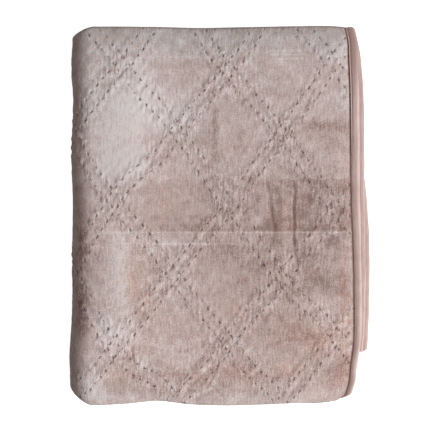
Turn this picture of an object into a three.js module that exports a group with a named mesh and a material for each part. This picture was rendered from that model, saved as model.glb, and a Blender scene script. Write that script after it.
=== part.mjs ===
// A quilted velvet bedspread, 1.5 m by 2.0 m, folded in four along its length and in four across its width.
// Millimetres, +Z up. The big fold is at -X, the bound side edges are at +X, and it lies on the plane Z = 0.
//
// The quilt is one closed sheet. Its length runs back and forth in four layers, which make a pad, and the
// pad's width runs back and forth in four passes. A point of the cloth is named by (across, along, offset):
// across counts the legs of the pad's walk through the passes, along counts the legs of the sheet's walk
// through the layers, and offset is the distance from the middle of the cloth towards its velvet face.
import * as THREE from "three";

const { clamp, lerp, smoothstep } = THREE.MathUtils;

// The folded pile.
const BIG_FOLD_X = -194.4; // the outside of the big fold
const FOOT_Y = -250.7; // the outside of the end where the layers are wrapped
const HEAD_Y = 251.1; // the outside of the end where the first two layers join

// The cloth: velvet, wadding and backing quilted together.
const SHEET = 3.0;
const LAYER_GAP = 0.6;
const PASS_GAP = 0.8;
const PITCH = SHEET + LAYER_GAP;
const TIGHT_FOLD_HALF = 0.9; // half the thickness inside a tight fold, on the side that is squeezed
const PAD = 4 * SHEET + 3 * LAYER_GAP;
const PASS_PITCH = PAD + PASS_GAP;

// Heights of the middle of each layer in the pad, and of the middle of each pass above the floor.
const layerLevel = (below) => SHEET / 2 + below * PITCH;
const LAYER = { first: layerLevel(3), second: layerLevel(2), third: layerLevel(1), fourth: layerLevel(0) };
const passLevel = (below) => PAD / 2 + below * PASS_PITCH;
const PASS = { first: passLevel(3), second: passLevel(2), third: passLevel(1), fourth: passLevel(0) };

// The binding: a folded tape round the raw edge, where the quilt is pressed thin.
const BINDING_WIDTH = 12.0;
const BINDING_TAPE = 0.65;
const BINDING_HALF = 1.45; // half the thickness of the bound edge
const BINDING_PAST = 1.3; // how far the binding reaches past the quilt's raw edge
const BINDING_ROUND = 0.9; // its folded edge is rounded over this width
const FIT = 0.3; // between the tape and the cloth that it holds
const PRESSED_HALF = BINDING_HALF - BINDING_TAPE - FIT;
const PRESSED_WIDTH = BINDING_WIDTH - BINDING_PAST + FIT;
const PRESSED_STEP = 0.8; // over which the quilt comes back to its thickness
const FREE_ENDS = [0, PRESSED_WIDTH, PRESSED_WIDTH + PRESSED_STEP];

// The quilting: pairs of stitched rows that cross in a lattice of upright diamonds.
const LATTICE_X = 12.0; // a crossing
const LATTICE_Y = 15.3;
const HALF_DIAMOND_X = 70.5;
const HALF_DIAMOND_Y = 91.8;
const CELLS = 7; // grid cells in half a diamond, and one cell is half the way between the two rows of a pair
const CELL_X = HALF_DIAMOND_X / CELLS;
const CELL_Y = HALF_DIAMOND_Y / CELLS;
// Height of the velvet above the flat sheet, by the number of cells from the middle of a pair of rows.
const PUFF = [0.9, 0.0, 1.3, 2.2, 2.7, 2.9, 3.0, 3.0];
const PUFF_ENDS = 0.03; // share of the top layer over which it is flat at the head and foot folds
const PUFF_ROUND_FOLD = 0.4; // share of the big fold's half turn that is quilted in relief

// Where the bound edges of the top pass lie, layer by layer, from the head to the foot.
const EDGES = [
  { y: 252, first: 179, second: 180, third: 176, fourth: 174 },
  { y: 211, first: 184, second: 187, third: 180, fourth: 177 },
  { y: 160, first: 186, second: 191, third: 184, fourth: 178 },
  { y: 80, first: 186.5, second: 192, third: 190, fourth: 179 },
  { y: 20, first: 187, second: 192, third: 195, fourth: 180 },
  { y: -30, first: 188, second: 193.5, third: 198, fourth: 181 },
  { y: -99, first: 189, second: 194, third: 199, fourth: 181 },
  { y: -160, first: 188, second: 191.5, third: 196, fourth: 178 },
  { y: -205, first: 181, second: 188, third: 193, fourth: 172 },
  { y: -228, first: 178, second: 188, third: 193, fourth: 165 },
  { y: -252, first: 167, second: 188, third: 193, fourth: 158 },
];
const EDGE_FADE = 130; // the layers lie square again this far from their edges

// The passes beneath lie inside the top one: the bound edges of the second, and the outside of the small fold.
const LOWER_EDGES = [
  { y: 252, first: 174, second: 175, third: 172, fourth: 174 },
  { y: 190, first: 181, second: 183, third: 180, fourth: 182 },
  { y: 60, first: 184, second: 187, third: 183, fourth: 185 },
  { y: -110, first: 184, second: 186, third: 182, fourth: 185 },
  { y: -180, first: 178, second: 180, third: 177, fourth: 178 },
  { y: -228, first: 168, second: 169, third: 167, fourth: 168 },
  { y: -252, first: 160, second: 161, third: 159, fourth: 160 },
];
const SMALL_FOLD_X = 176;
const SMALL_FOLD_SLIP = [
  { y: -40, out: 0 }, { y: -120, out: -1 }, { y: -180, out: -4 }, { y: -228, out: -10 }, { y: -252, out: -15 },
];

// Near the bound edge the inner fold of the pad stops short of the foot, and the top layer sinks there.
const INNER_FOLD_SHORT = 67;
const INNER_FOLD_FADE = 120;
const CORNER_DROP = 5.2;
const DROP_SLOPE = 42;
const DROP_PAST = 12; // the top layer starts to sink this far past the end of the inner fold

// How far the outline stands out of the plain rectangle, along each side, and how high the pile lies.
const BIG_FOLD_OUTLINE = [
  { y: 250, out: 0.6 }, { y: 120, out: 0.3 }, { y: -10, out: -1.4 }, { y: -130, out: 1.2 },
  { y: -250, out: 2.2 },
];
const FOOT_OUTLINE = [
  { x: -152, out: 1.3 }, { x: -119, out: -0.8 }, { x: -79, out: -4.4 }, { x: -39, out: 0 },
  { x: 7, out: 1.7 }, { x: 54, out: 0.8 }, { x: 107, out: -2.0 }, { x: 134, out: -1.8 },
  { x: 151, out: -5 }, { x: 168, out: -11 }, { x: 200, out: -14 },
];
const HEAD_OUTLINE = [
  { x: -152, out: 0.3 }, { x: -79, out: -0.4 }, { x: -26, out: -0.6 }, { x: 40, out: 0.5 },
  { x: 107, out: 0.9 }, { x: 147, out: 1.8 }, { x: 175, out: -0.8 }, { x: 200, out: -3 },
];
const PILE_HEIGHT = [
  { x: -197, share: 0.98 }, { x: -140, share: 1.01 }, { x: -60, share: 0.99 }, { x: 20, share: 1.0 },
  { x: 90, share: 0.985 }, { x: 150, share: 0.955 }, { x: 200, share: 0.925 },
];
const FOOT_CORNER = 25; // rounding of the big fold's two corners, seen from above
const HEAD_CORNER = 17;
const SIDE_REACH = { whole: 20, none: 150 }; // how far in from a side its outline moves the cloth
const END_REACH = { whole: 15, none: 90 };

// How finely each leg is divided.
const BIG_TURN_STEPS = 9;
const TURN_STEPS = 6;
const LAYER_TURN_STEPS = { outer: 6, inner: 4 };
const COARSE_STEPS = 4;
const COLUMNS = { fine: 2, coarse: 4 }; // of the quilting's grid, from one whole section to the next
const FINE_COLUMNS = 13; // the sections are closer over this many columns from the bound edge
const SPARE = 0.01; // the least share of a leg between two sections
const FINE_FOOT = 105; // the back of the top layer is as fine as its face this far from the foot

// The value of a table at a place, on a smooth curve through its rows.
function read(table, key, column, at) {
  const rows = table[0][key] < table[table.length - 1][key] ? table : [...table].reverse();
  const last = rows.length - 1;
  if (at <= rows[0][key]) return rows[0][column];
  if (at >= rows[last][key]) return rows[last][column];
  const i = rows.findIndex((row) => row[key] > at) - 1;
  const slope = (k) => {
    const [a, b] = [rows[Math.max(k - 1, 0)], rows[Math.min(k + 1, last)]];
    return (b[column] - a[column]) / (b[key] - a[key]);
  };
  const span = rows[i + 1][key] - rows[i][key];
  const t = (at - rows[i][key]) / span;
  const [from, to] = [rows[i][column], rows[i + 1][column]];
  const [leave, arrive] = [slope(i) * span, slope(i + 1) * span];
  const [square, cube] = [3 * (to - from) - 2 * leave - arrive, 2 * (from - to) + leave + arrive];
  return from + t * (leave + t * (square + t * cube));
}

// The pad's walk through the passes, from the free edge of the top pass to the free edge of the second one.
const BIG_FOLD_CENTRE = BIG_FOLD_X + 2 * PAD + 1.5 * PASS_GAP;
const SMALL_FOLD_CENTRE = SMALL_FOLD_X - PAD - PASS_GAP / 2;
const RAW_EDGE_X = 186; // the quilt's own edge before the layers slip
const PASSES = [
  { from: RAW_EDGE_X, to: BIG_FOLD_CENTRE, level: PASS.first },
  { turn: -1, centre: BIG_FOLD_CENTRE, level: PASS.first, next: PASS.fourth },
  { from: BIG_FOLD_CENTRE, to: SMALL_FOLD_CENTRE, level: PASS.fourth },
  { turn: 1, centre: SMALL_FOLD_CENTRE, level: PASS.fourth, next: PASS.third },
  { from: SMALL_FOLD_CENTRE, to: BIG_FOLD_CENTRE, level: PASS.third },
  { turn: -1, centre: BIG_FOLD_CENTRE, level: PASS.third, next: PASS.second },
  { from: BIG_FOLD_CENTRE, to: RAW_EDGE_X, level: PASS.second },
];
const LAST_PASS = PASSES.length - 1;
const runLength = (leg) => Math.abs(leg.to - leg.from);

// How far a place on the pad's walk is from the nearer free edge, in millimetres.
function fromSideEdge(across) {
  if (across < 1) return across * runLength(PASSES[0]);
  if (across > LAST_PASS) return (LAST_PASS + 1 - across) * runLength(PASSES[LAST_PASS]);
  return Infinity;
}

// The sheet's walk through the layers, from its free edge in the fourth layer to its free edge in the third.
const OUTER_FOOT = FOOT_Y + PAD / 2;
const JOINED_HEAD = HEAD_Y - SHEET - LAYER_GAP / 2;
const INNER_FOOT = OUTER_FOOT;
const FREE_HEAD = { fourth: HEAD_Y - 15, third: HEAD_Y - 9 }; // the two short ends of the sheet

// How far the inner fold stops short of the foot, and the legs of the sheet's walk there.
function shortOfFoot(across) {
  return across < 1 ? INNER_FOLD_SHORT * (1 - smoothstep(fromSideEdge(across), 0, INNER_FOLD_FADE)) : 0;
}

function layers(across) {
  const short = shortOfFoot(across);
  const sunk = LAYER.first - CORNER_DROP * clamp(short / DROP_SLOPE, 0, 1);
  return [
    { from: FREE_HEAD.fourth, to: OUTER_FOOT, level: LAYER.fourth },
    { turn: -1, centre: OUTER_FOOT, level: LAYER.fourth, next: sunk },
    { from: OUTER_FOOT, to: JOINED_HEAD, level: LAYER.first, sunk, until: INNER_FOOT + short - DROP_PAST },
    { turn: 1, centre: JOINED_HEAD, level: LAYER.first, next: LAYER.second },
    { from: JOINED_HEAD, to: INNER_FOOT + short, level: LAYER.second },
    { turn: -1, centre: INNER_FOOT + short, level: LAYER.second, next: LAYER.third },
    { from: INNER_FOOT + short, to: FREE_HEAD.third, level: LAYER.third },
  ];
}
const LAYER_NAMES = ["fourth", null, "first", null, "second", null, "third"];
const LAST_LAYER = LAYER_NAMES.length - 1;
const PLAIN_LAYERS = layers(2);

function fromEndEdge(along) {
  if (along < 1) return along * runLength(PLAIN_LAYERS[0]);
  if (along > LAST_LAYER) return (LAST_LAYER + 1 - along) * runLength(PLAIN_LAYERS[LAST_LAYER]);
  return Infinity;
}

// A place on a walk of straight runs and half turns: its distance along the axis, its level and its heading.
function stepTo(legs, at) {
  const index = clamp(Math.floor(at), 0, legs.length - 1);
  const leg = legs[index];
  const share = at - index;
  if (leg.turn === undefined) {
    const reach = lerp(leg.from, leg.to, share);
    const sinking = leg.sunk === undefined ? 0 : 1 - smoothstep(reach, leg.until - DROP_SLOPE, leg.until);
    const level = lerp(leg.level, leg.sunk ?? leg.level, sinking);
    return { reach, level, heading: { reach: Math.sign(leg.to - leg.from), level: 0 } };
  }
  const angle = share * Math.PI;
  const half = (leg.level - leg.next) / 2;
  return {
    reach: leg.centre + leg.turn * Math.abs(half) * Math.sin(angle),
    level: leg.level - half * (1 - Math.cos(angle)),
    heading: { reach: leg.turn * Math.cos(angle), level: -Math.sign(half) * Math.sin(angle) },
  };
}

// How far a bound edge has slipped out from the plain raw edge, layer by layer.
function edgeSlip(across, along, y) {
  const index = clamp(Math.floor(along), 0, LAST_LAYER);
  const table = across < 1 ? EDGES : LOWER_EDGES;
  const edge = (name) => read(table, "y", name, y) - BINDING_PAST - RAW_EDGE_X;
  const name = LAYER_NAMES[index];
  if (name) return edge(name);
  return lerp(edge(LAYER_NAMES[index - 1]), edge(LAYER_NAMES[index + 1]), along - index);
}

// How far a point has slipped along X: the free edges and the small fold move, and the big fold stays.
function slip(across, along, y, reach) {
  const edge = 1 - smoothstep(fromSideEdge(across), 0, EDGE_FADE);
  if (edge > 0) return edge * edgeSlip(across, along, y);
  if (across < 2 || across > 5) return 0;
  const fold = smoothstep(reach, SMALL_FOLD_CENTRE - EDGE_FADE, SMALL_FOLD_CENTRE);
  return fold * read(SMALL_FOLD_SLIP, "y", "out", y);
}

// The unevenness of the pile: a smooth shift of every point, which leaves the floor flat.
function settle(point) {
  const { x, y, z } = point;
  const near = {
    fold: 1 - smoothstep(x, BIG_FOLD_X + SIDE_REACH.whole, BIG_FOLD_X + SIDE_REACH.none),
    foot: 1 - smoothstep(y, FOOT_Y + END_REACH.whole, FOOT_Y + END_REACH.none),
    head: smoothstep(y, HEAD_Y - END_REACH.none, HEAD_Y - END_REACH.whole),
  };
  const corner = Math.max(0, (BIG_FOLD_CENTRE - x) / (BIG_FOLD_CENTRE - BIG_FOLD_X)) ** 2;
  const foot = read(FOOT_OUTLINE, "x", "out", x) - FOOT_CORNER * corner;
  const head = read(HEAD_OUTLINE, "x", "out", x) - HEAD_CORNER * corner;
  return new THREE.Vector3(
    x - near.fold * read(BIG_FOLD_OUTLINE, "y", "out", y),
    y - near.foot * foot + near.head * head,
    z * read(PILE_HEIGHT, "x", "share", x),
  );
}

// The point of the folded cloth named by (across, along, offset).
function place(across, along, offset) {
  const layer = stepTo(layers(across), along);
  const y = layer.reach - offset * layer.heading.level;
  const rise = layer.level + offset * layer.heading.reach - PAD / 2;
  const pass = stepTo(PASSES, across);
  const x = pass.reach + rise * pass.heading.level + slip(across, along, y, pass.reach);
  return settle(new THREE.Vector3(x, y, pass.level - rise * pass.heading.reach));
}

// Half the thickness of the quilt, which is pressed thin under its binding.
function halfThickness(across, along) {
  const inside = Math.min(fromSideEdge(across), fromEndEdge(along));
  return lerp(PRESSED_HALF, SHEET / 2, clamp((inside - PRESSED_WIDTH) / PRESSED_STEP, 0, 1));
}

// How far the velvet face and the back lie from the middle of the cloth. Both give way inside a tight fold: the
// back where the layers join at the head, and the velvet in the inner fold at the foot.
function faceOffset(face, across, along) {
  const half = halfThickness(across, along);
  const inside = face === "velvet" ? along >= 5 && along <= 6 : along >= 3 && along <= 4;
  const given = inside ? Math.min(half, TIGHT_FOLD_HALF) : half;
  return face === "velvet" ? given + puffOf(across, along) : -given;
}

// Cells from the middle of the nearest pair of rows that leans one way (sign 1) or the other (sign -1).
function cellsFromPair(column, row, sign) {
  const turn = 2 * CELLS;
  const at = (((column + sign * row) % turn) + turn) % turn;
  return Math.min(at, turn - at);
}

// The columns and rows of the quilting's grid, counted from a crossing, as they lie on the flat cloth.
const BIG_FOLD_LENGTH = -Math.PI * (BIG_FOLD_CENTRE - BIG_FOLD_X);
const columnOf = (across) => {
  const flat = across <= 1
    ? lerp(PASSES[0].from, PASSES[0].to, across)
    : PASSES[0].to + (across - 1) * BIG_FOLD_LENGTH;
  return (flat - LATTICE_X) / CELL_X;
};
const rowOf = (along) => (lerp(PLAIN_LAYERS[2].from, PLAIN_LAYERS[2].to, along - 2) - LATTICE_Y) / CELL_Y;

// A cell of the grid is split along the stitched row that crosses it.
function leansWithRows(a, b) {
  return cellsFromPair(Math.round(columnOf(b.across)), Math.round(rowOf(b.place)), -1) === 1;
}

// How far the quilting raises the velvet face, on the top layer and round the big fold.
function puffOf(across, along) {
  if (across > 2 || along < 2 || along > 3 || fromSideEdge(across) < FREE_ENDS[2]) return 0;
  const nearest = Math.min(...[1, -1].map((sign) => cellsFromPair(columnOf(across), rowOf(along), sign)));
  const low = Math.floor(nearest);
  const lifted = lerp(PUFF[low], PUFF[Math.min(low + 1, CELLS)], nearest - low);
  const ends = smoothstep(Math.min(along - 2, 3 - along), 0, PUFF_ENDS);
  return lifted * ends * (1 - smoothstep(across, 1 + PUFF_ROUND_FOLD, 2));
}

const steps = (from, to, count) => Array.from({ length: count }, (_, i) => from + ((to - from) * i) / count);

// The lines of the quilting's grid that cross a length, as shares of it, leaving its two ends free.
function gridShares(from, to, origin, cell) {
  const [first, last] = [(from - origin) / cell, (to - origin) / cell];
  const lines = steps(Math.round(first), Math.round(last), Math.abs(Math.round(last) - Math.round(first)));
  const shares = lines.map((line) => (line - first) / (last - first));
  const margin = cell / 2 / Math.abs(to - from);
  return shares.filter((share) => share > margin && share < 1 - margin);
}
const TOP = PLAIN_LAYERS[2];
const TOP_ROWS = [2, ...gridShares(TOP.from, TOP.to, LATTICE_Y, CELL_Y).map((share) => 2 + share)];
const nearFoot = (along) => lerp(TOP.from, TOP.to, along - 2) < FOOT_Y + FINE_FOOT;
const FOOT_ROWS = TOP_ROWS.filter(nearFoot);

// The places along the sheet where a section has points. Its parts lie before, on and after the top layer.
function sectionPlaces(face, kind) {
  const wide = LAYER_TURN_STEPS[face === "velvet" || kind === "edge" ? "outer" : "inner"];
  const narrow = LAYER_TURN_STEPS.inner;
  const freeStart = FREE_ENDS.map((d) => d / runLength(PLAIN_LAYERS[0]));
  const freeEnd = FREE_ENDS.map((d) => LAST_LAYER + 1 - d / runLength(PLAIN_LAYERS[LAST_LAYER])).reverse();
  const last = FOOT_ROWS[FOOT_ROWS.length - 1];
  const top = {
    quilted: face === "velvet" ? TOP_ROWS : [...FOOT_ROWS, ...steps(last, 3, COARSE_STEPS).slice(1)],
    edge: TOP_ROWS.filter((_, i) => i % 2 === 0 || i < FOOT_ROWS.length),
    plain: steps(2, 3, COARSE_STEPS),
  }[kind];
  return {
    before: [...freeStart, ...steps(0, 1, COARSE_STEPS).slice(1), ...steps(1, 2, wide)],
    top: [...top, 3],
    after: [
      ...steps(3, 4, narrow).slice(1), ...steps(4, 5, COARSE_STEPS), ...steps(5, 6, narrow),
      ...steps(6, 7, COARSE_STEPS), ...freeEnd,
    ],
  };
}

// The sections across the passes. Between two quilted ones the top layer has more columns of points.
function sections() {
  const first = runLength(PASSES[0]);
  const last = runLength(PASSES[LAST_PASS]);
  const columns = gridShares(PASSES[0].from, PASSES[0].to, LATTICE_X, CELL_X);
  const start = FREE_ENDS[2] / first;
  const flat = [start, ...columns.filter((share) => share > start + SPARE)];
  const coarse = [
    ...steps(2, 3, COARSE_STEPS), ...steps(3, 4, TURN_STEPS), ...steps(4, 5, COARSE_STEPS),
    ...steps(5, 6, TURN_STEPS), ...steps(6, 7, COARSE_STEPS), LAST_PASS + 1 - FREE_ENDS[2] / last,
  ];
  const section = (kind) => (across) => ({ across, kind, between: [] });
  const isStart = (i) => i % COLUMNS.coarse === 0 || (i % COLUMNS.fine === 0 && i < FINE_COLUMNS);
  const starts = flat.map((_, i) => i).filter(isStart);
  const between = (k) => flat.slice(starts[k] + 1, starts[k + 1] ?? flat.length);
  return [
    ...[0, PRESSED_WIDTH / first].map(section("edge")),
    ...starts.map((i, k) => ({ across: flat[i], kind: "quilted", between: between(k) })),
    ...steps(1, 2, BIG_TURN_STEPS).map(section("quilted")),
    ...coarse.map(section("plain")),
    ...[LAST_PASS + 1 - PRESSED_WIDTH / last, LAST_PASS + 1].map(section("edge")),
  ];
}

// A list of points and of triangles between them, which becomes a geometry.
function mesher() {
  const positions = [];
  const index = [];
  return {
    point(p) {
      positions.push(p.x, p.y, p.z);
      return positions.length / 3 - 1;
    },
    triangle: (a, b, c) => index.push(a, c, b),
    geometry() {
      const geometry = new THREE.BufferGeometry();
      geometry.setAttribute("position", new THREE.Float32BufferAttribute(positions, 3));
      geometry.setIndex(index);
      geometry.computeVertexNormals();
      return geometry;
    },
  };
}

// Joins two lines of points side by side, which need not be as many. Each point has its place on its line.
function zip(mesh, a, b, leansBack = () => true) {
  let [i, j] = [0, 0];
  while (i < a.length - 1 || j < b.length - 1) {
    const nextA = a[i + 1]?.place ?? Infinity;
    const nextB = b[j + 1]?.place ?? Infinity;
    const level = Math.abs(nextA - nextB) < 1e-9;
    const back = level ? leansBack(a[i], b[j]) : nextA < nextB;
    if (back) mesh.triangle(a[i].id, b[j].id, a[i + 1].id);
    else mesh.triangle(a[i].id, b[j].id, b[j + 1].id);
    if (back) i += 1;
    else j += 1;
  }
}

function quilt() {
  const mesh = mesher();
  const line = (across, places, face) => places.map((along) => {
    const id = mesh.point(place(across, along, faceOffset(face, across, along)));
    return { place: along, across, id };
  });
  const rows = sections().map(({ across, kind, between }) => {
    const [front, rear] = [sectionPlaces("velvet", kind), sectionPlaces("back", kind)];
    return {
      before: line(across, front.before, "velvet"),
      top: line(across, front.top, "velvet"),
      after: line(across, front.after, "velvet"),
      between: between.map((a) => line(a, front.top, "velvet")),
      back: line(across, [...rear.before, ...rear.top, ...rear.after], "back"),
    };
  });
  const last = (list) => list[list.length - 1];
  const byAcross = (points) => points.map((point) => ({ ...point, place: point.across }));
  for (let k = 0; k < rows.length - 1; k += 1) {
    const [near, far] = [rows[k], rows[k + 1]];
    const columns = [near.top, ...near.between, far.top];
    columns.slice(1).forEach((column, c) => zip(mesh, columns[c], column, leansWithRows));
    zip(mesh, near.before, far.before);
    zip(mesh, near.after, far.after);
    zip(mesh, byAcross(columns.map((column) => column[0])), byAcross([last(near.before), last(far.before)]));
    zip(mesh, byAcross([near.after[0], far.after[0]]), byAcross(columns.map(last)));
    zip(mesh, far.back, near.back);
    mesh.triangle(near.before[0].id, near.back[0].id, far.before[0].id);
    mesh.triangle(near.back[0].id, far.back[0].id, far.before[0].id);
    mesh.triangle(last(near.back).id, last(near.after).id, last(far.after).id);
    mesh.triangle(last(near.back).id, last(far.after).id, last(far.back).id);
  }
  const front = (row) => [...row.before, ...row.top, ...row.after];
  zip(mesh, rows[0].back, front(rows[0]));
  zip(mesh, front(last(rows)), last(rows).back);
  return mesh.geometry();
}

// The section of the binding tape: distance past the raw edge, and offset from the middle of the cloth.
function tapeSection() {
  const inner = BINDING_HALF - BINDING_TAPE;
  const start = BINDING_PAST - BINDING_WIDTH;
  const upper = [
    [start, inner], [start, BINDING_HALF], [BINDING_PAST - BINDING_ROUND, BINDING_HALF], [BINDING_PAST, inner],
  ];
  const lower = upper.map(([past, offset]) => [past, -offset]).reverse();
  return [...upper, ...lower, [FIT, -inner], [FIT, inner]];
}

// Sweeps the tape's section along an edge: at(place, past, offset) gives its points.
function tape(places, at) {
  const mesh = mesher();
  const section = tapeSection();
  const rings = places.map((p) => section.map(([past, offset]) => mesh.point(at(p, past, offset))));
  const count = section.length;
  for (let k = 0; k < rings.length - 1; k += 1) {
    for (let i = 0; i < count; i += 1) {
      const j = (i + 1) % count;
      mesh.triangle(rings[k][i], rings[k + 1][i], rings[k][j]);
      mesh.triangle(rings[k][j], rings[k + 1][i], rings[k + 1][j]);
    }
  }
  // An end of the C is closed by triangles between its outside and its inside.
  const cap = [[0, 1, 2], [0, 2, 9], [2, 3, 9], [9, 3, 8], [3, 4, 8], [8, 4, 5], [8, 5, 7], [5, 6, 7]];
  const last = rings[rings.length - 1];
  cap.forEach(([a, b, c]) => mesh.triangle(rings[0][a], rings[0][b], rings[0][c]));
  cap.forEach(([a, b, c]) => mesh.triangle(last[a], last[c], last[b]));
  return mesh.geometry();
}

function sideBinding(atStart) {
  const run = runLength(PASSES[atStart ? 0 : LAST_PASS]);
  const over = (leg) => BINDING_PAST / runLength(PLAIN_LAYERS[leg]);
  const { before, top, after } = sectionPlaces("velvet", "edge");
  const places = [...before, ...top, ...after];
  places[0] = -over(0);
  places[places.length - 1] = LAST_LAYER + 1 + over(LAST_LAYER);
  if (!atStart) places.reverse();
  const across = (past) => (atStart ? -past / run : LAST_PASS + 1 + past / run);
  return tape(places, (along, past, offset) => place(across(past), along, offset));
}

function endBinding(atStart) {
  const run = runLength(PLAIN_LAYERS[atStart ? 0 : LAST_LAYER]);
  const clear = BINDING_WIDTH - BINDING_PAST + FIT;
  const margins = [clear / runLength(PASSES[0]), LAST_PASS + 1 - clear / runLength(PASSES[LAST_PASS])];
  const inside = (across) => across > margins[0] + SPARE && across < margins[1] - SPARE;
  const between = sections().map(({ across }) => across).filter(inside);
  const places = [margins[0], ...between, margins[1]];
  if (atStart) places.reverse();
  const along = (past) => (atStart ? -past / run : LAST_LAYER + 1 + past / run);
  return tape(places, (across, past, offset) => place(across, along(past), offset));
}

const velvet = () => new THREE.MeshStandardMaterial({ color: 0xb8a19b, roughness: 0.85, metalness: 0 });
const cotton = () => new THREE.MeshStandardMaterial({ color: 0xc0a099, roughness: 0.75, metalness: 0 });

function piece(name, geometry, material) {
  const made = new THREE.Mesh(geometry, material);
  made.name = name;
  return made;
}

const bedspread = new THREE.Group();
bedspread.add(
  piece("quilt", quilt(), velvet()),
  piece("side_binding_top", sideBinding(true), cotton()),
  piece("side_binding_lower", sideBinding(false), cotton()),
  piece("foot_binding", endBinding(true), cotton()),
  piece("head_binding", endBinding(false), cotton()),
);

// The origin is under the middle of the pile.
const box = new THREE.Box3().setFromObject(bedspread);
bedspread.position.set(-(box.min.x + box.max.x) / 2, -(box.min.y + box.max.y) / 2, -box.min.z);

export default bedspread;
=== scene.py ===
"""A quilted velvet bedspread, folded in four along its length and across its width, seen from above.

Sizes are in millimetres until a mesh is made. A point of the cloth is named by (across, along, offset):
across counts the legs of the folded pad's walk through its four passes, along counts the legs of the
sheet's walk through the pad's four layers, and offset is the distance from the middle of the cloth to its
velvet side.
"""

import math

import bpy
import numpy as np
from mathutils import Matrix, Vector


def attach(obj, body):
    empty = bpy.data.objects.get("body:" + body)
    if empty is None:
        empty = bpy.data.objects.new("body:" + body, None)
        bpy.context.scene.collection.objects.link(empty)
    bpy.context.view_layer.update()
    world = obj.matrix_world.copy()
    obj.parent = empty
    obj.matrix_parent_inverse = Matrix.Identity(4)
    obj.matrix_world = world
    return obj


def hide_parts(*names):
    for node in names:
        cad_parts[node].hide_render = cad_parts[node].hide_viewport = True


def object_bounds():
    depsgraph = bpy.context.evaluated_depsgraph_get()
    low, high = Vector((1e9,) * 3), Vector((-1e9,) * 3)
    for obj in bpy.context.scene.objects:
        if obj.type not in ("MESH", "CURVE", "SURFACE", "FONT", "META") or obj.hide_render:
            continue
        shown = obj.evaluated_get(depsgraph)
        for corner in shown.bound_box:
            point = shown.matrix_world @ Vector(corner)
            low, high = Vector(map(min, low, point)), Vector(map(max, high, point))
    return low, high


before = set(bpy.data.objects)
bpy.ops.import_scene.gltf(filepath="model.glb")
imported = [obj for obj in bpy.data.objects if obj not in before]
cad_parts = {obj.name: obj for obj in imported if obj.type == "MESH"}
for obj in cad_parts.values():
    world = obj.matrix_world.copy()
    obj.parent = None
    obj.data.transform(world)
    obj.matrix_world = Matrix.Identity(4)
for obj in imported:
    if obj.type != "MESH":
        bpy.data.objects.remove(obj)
CAD_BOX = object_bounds()
MM = 0.001


def table(columns, *rows):
    """Rows of numbers under the names of their columns."""
    return [dict(zip(columns.split(), row)) for row in rows]


# The folded pile, as its source has it.
BIG_FOLD_X = -194.4
FOOT_Y = -250.7
HEAD_Y = 251.1
PILE_MIDDLE = (0.2405, 0.2434)  # of the finished part, from the origin of these sizes

# The cloth: velvet, wadding and backing quilted together.
SHEET = 3.0
LAYER_GAP = 0.6
PASS_GAP = 0.8
PITCH = SHEET + LAYER_GAP
TIGHT_FOLD_HALF = 0.9
PAD = 4 * SHEET + 3 * LAYER_GAP
PASS_PITCH = PAD + PASS_GAP
UPWARDS = ["fourth", "third", "second", "first"]
LAYER = {name: SHEET / 2 + below * PITCH for below, name in enumerate(UPWARDS)}
PASS = {name: PAD / 2 + below * PASS_PITCH for below, name in enumerate(UPWARDS)}
TOP_PASS = (3 * PASS_PITCH, 3.6 * PASS_PITCH)  # the heights between which the top pass begins

# The binding: a folded tape round the raw edge, where the quilt is pressed thin.
BINDING_WIDTH = 12.0
BINDING_TAPE = 0.65
BINDING_HALF = 1.45
BINDING_PAST = 1.3
FIT = 0.3
PRESSED_HALF = BINDING_HALF - BINDING_TAPE - FIT
PRESSED_WIDTH = BINDING_WIDTH - BINDING_PAST + FIT
PRESSED_STEP = 0.8
DITCH = PRESSED_WIDTH + PRESSED_STEP  # where the quilt has its full thickness again

# The quilting: pairs of stitched rows that cross in a lattice of upright diamonds.
LATTICE_X = 12.0
LATTICE_Y = 15.3
HALF_DIAMOND_X = 70.5
HALF_DIAMOND_Y = 91.8
CELLS = 7
CELL_X = HALF_DIAMOND_X / CELLS
CELL_Y = HALF_DIAMOND_Y / CELLS
CELL_DIAGONAL = math.hypot(CELL_X, CELL_Y)
ROW_STEP = CELL_X * CELL_Y / CELL_DIAGONAL  # half the way between the two rows of a pair
STITCH_PITCH = 12.2
STITCH_LENGTH = 4.2
ROW_PHASE = 0.37  # share of a pitch by which each row's stitches start later than the last row's
PAIRS_EACH_WAY = 8
STITCHES_EACH_WAY = 60

# What scatters each stitch's numbers, in the mesh and in the pile's colour alike.
LUCK = dict(line=1.299, stitch=0.7823, lean=3.77, which=1.9, spread=437.585)

# How far the crossings lie from the even lattice.
CROSSING_REACH = dict(wide=38.0, tall=48.0)
EVEN_WEIGHT = 0.25
ROW_SWAY = dict(far=0.8, right=(17.0, 31.0), up=(14.0, 26.0))
CROSSINGS = table(
    "x y right up",
    (-129, 198.9, 0.9, -0.9), (12, 198.9, 0, -7.5), (153, 198.9, 0, 3), (-58.5, 107.1, 4.4, 5.1),
    (82.5, 107.1, 0.7, -1.5), (-129, 15.3, -12.3, 4.5), (12, 15.3, 2.5, -4.8), (153, 15.3, 4.1, -11.4),
    (-58.5, -76.5, -3.6, -2.8), (82.5, -76.5, 0.7, -9.4), (-129, -168.3, -8.3, -9.9),
    (12, -168.3, 0, 0.7), (153, -168.3, 0, 9.9), (-58.5, -260.1, 1.5, 13), (82.5, -260.1, 2, 13),
)

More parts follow.
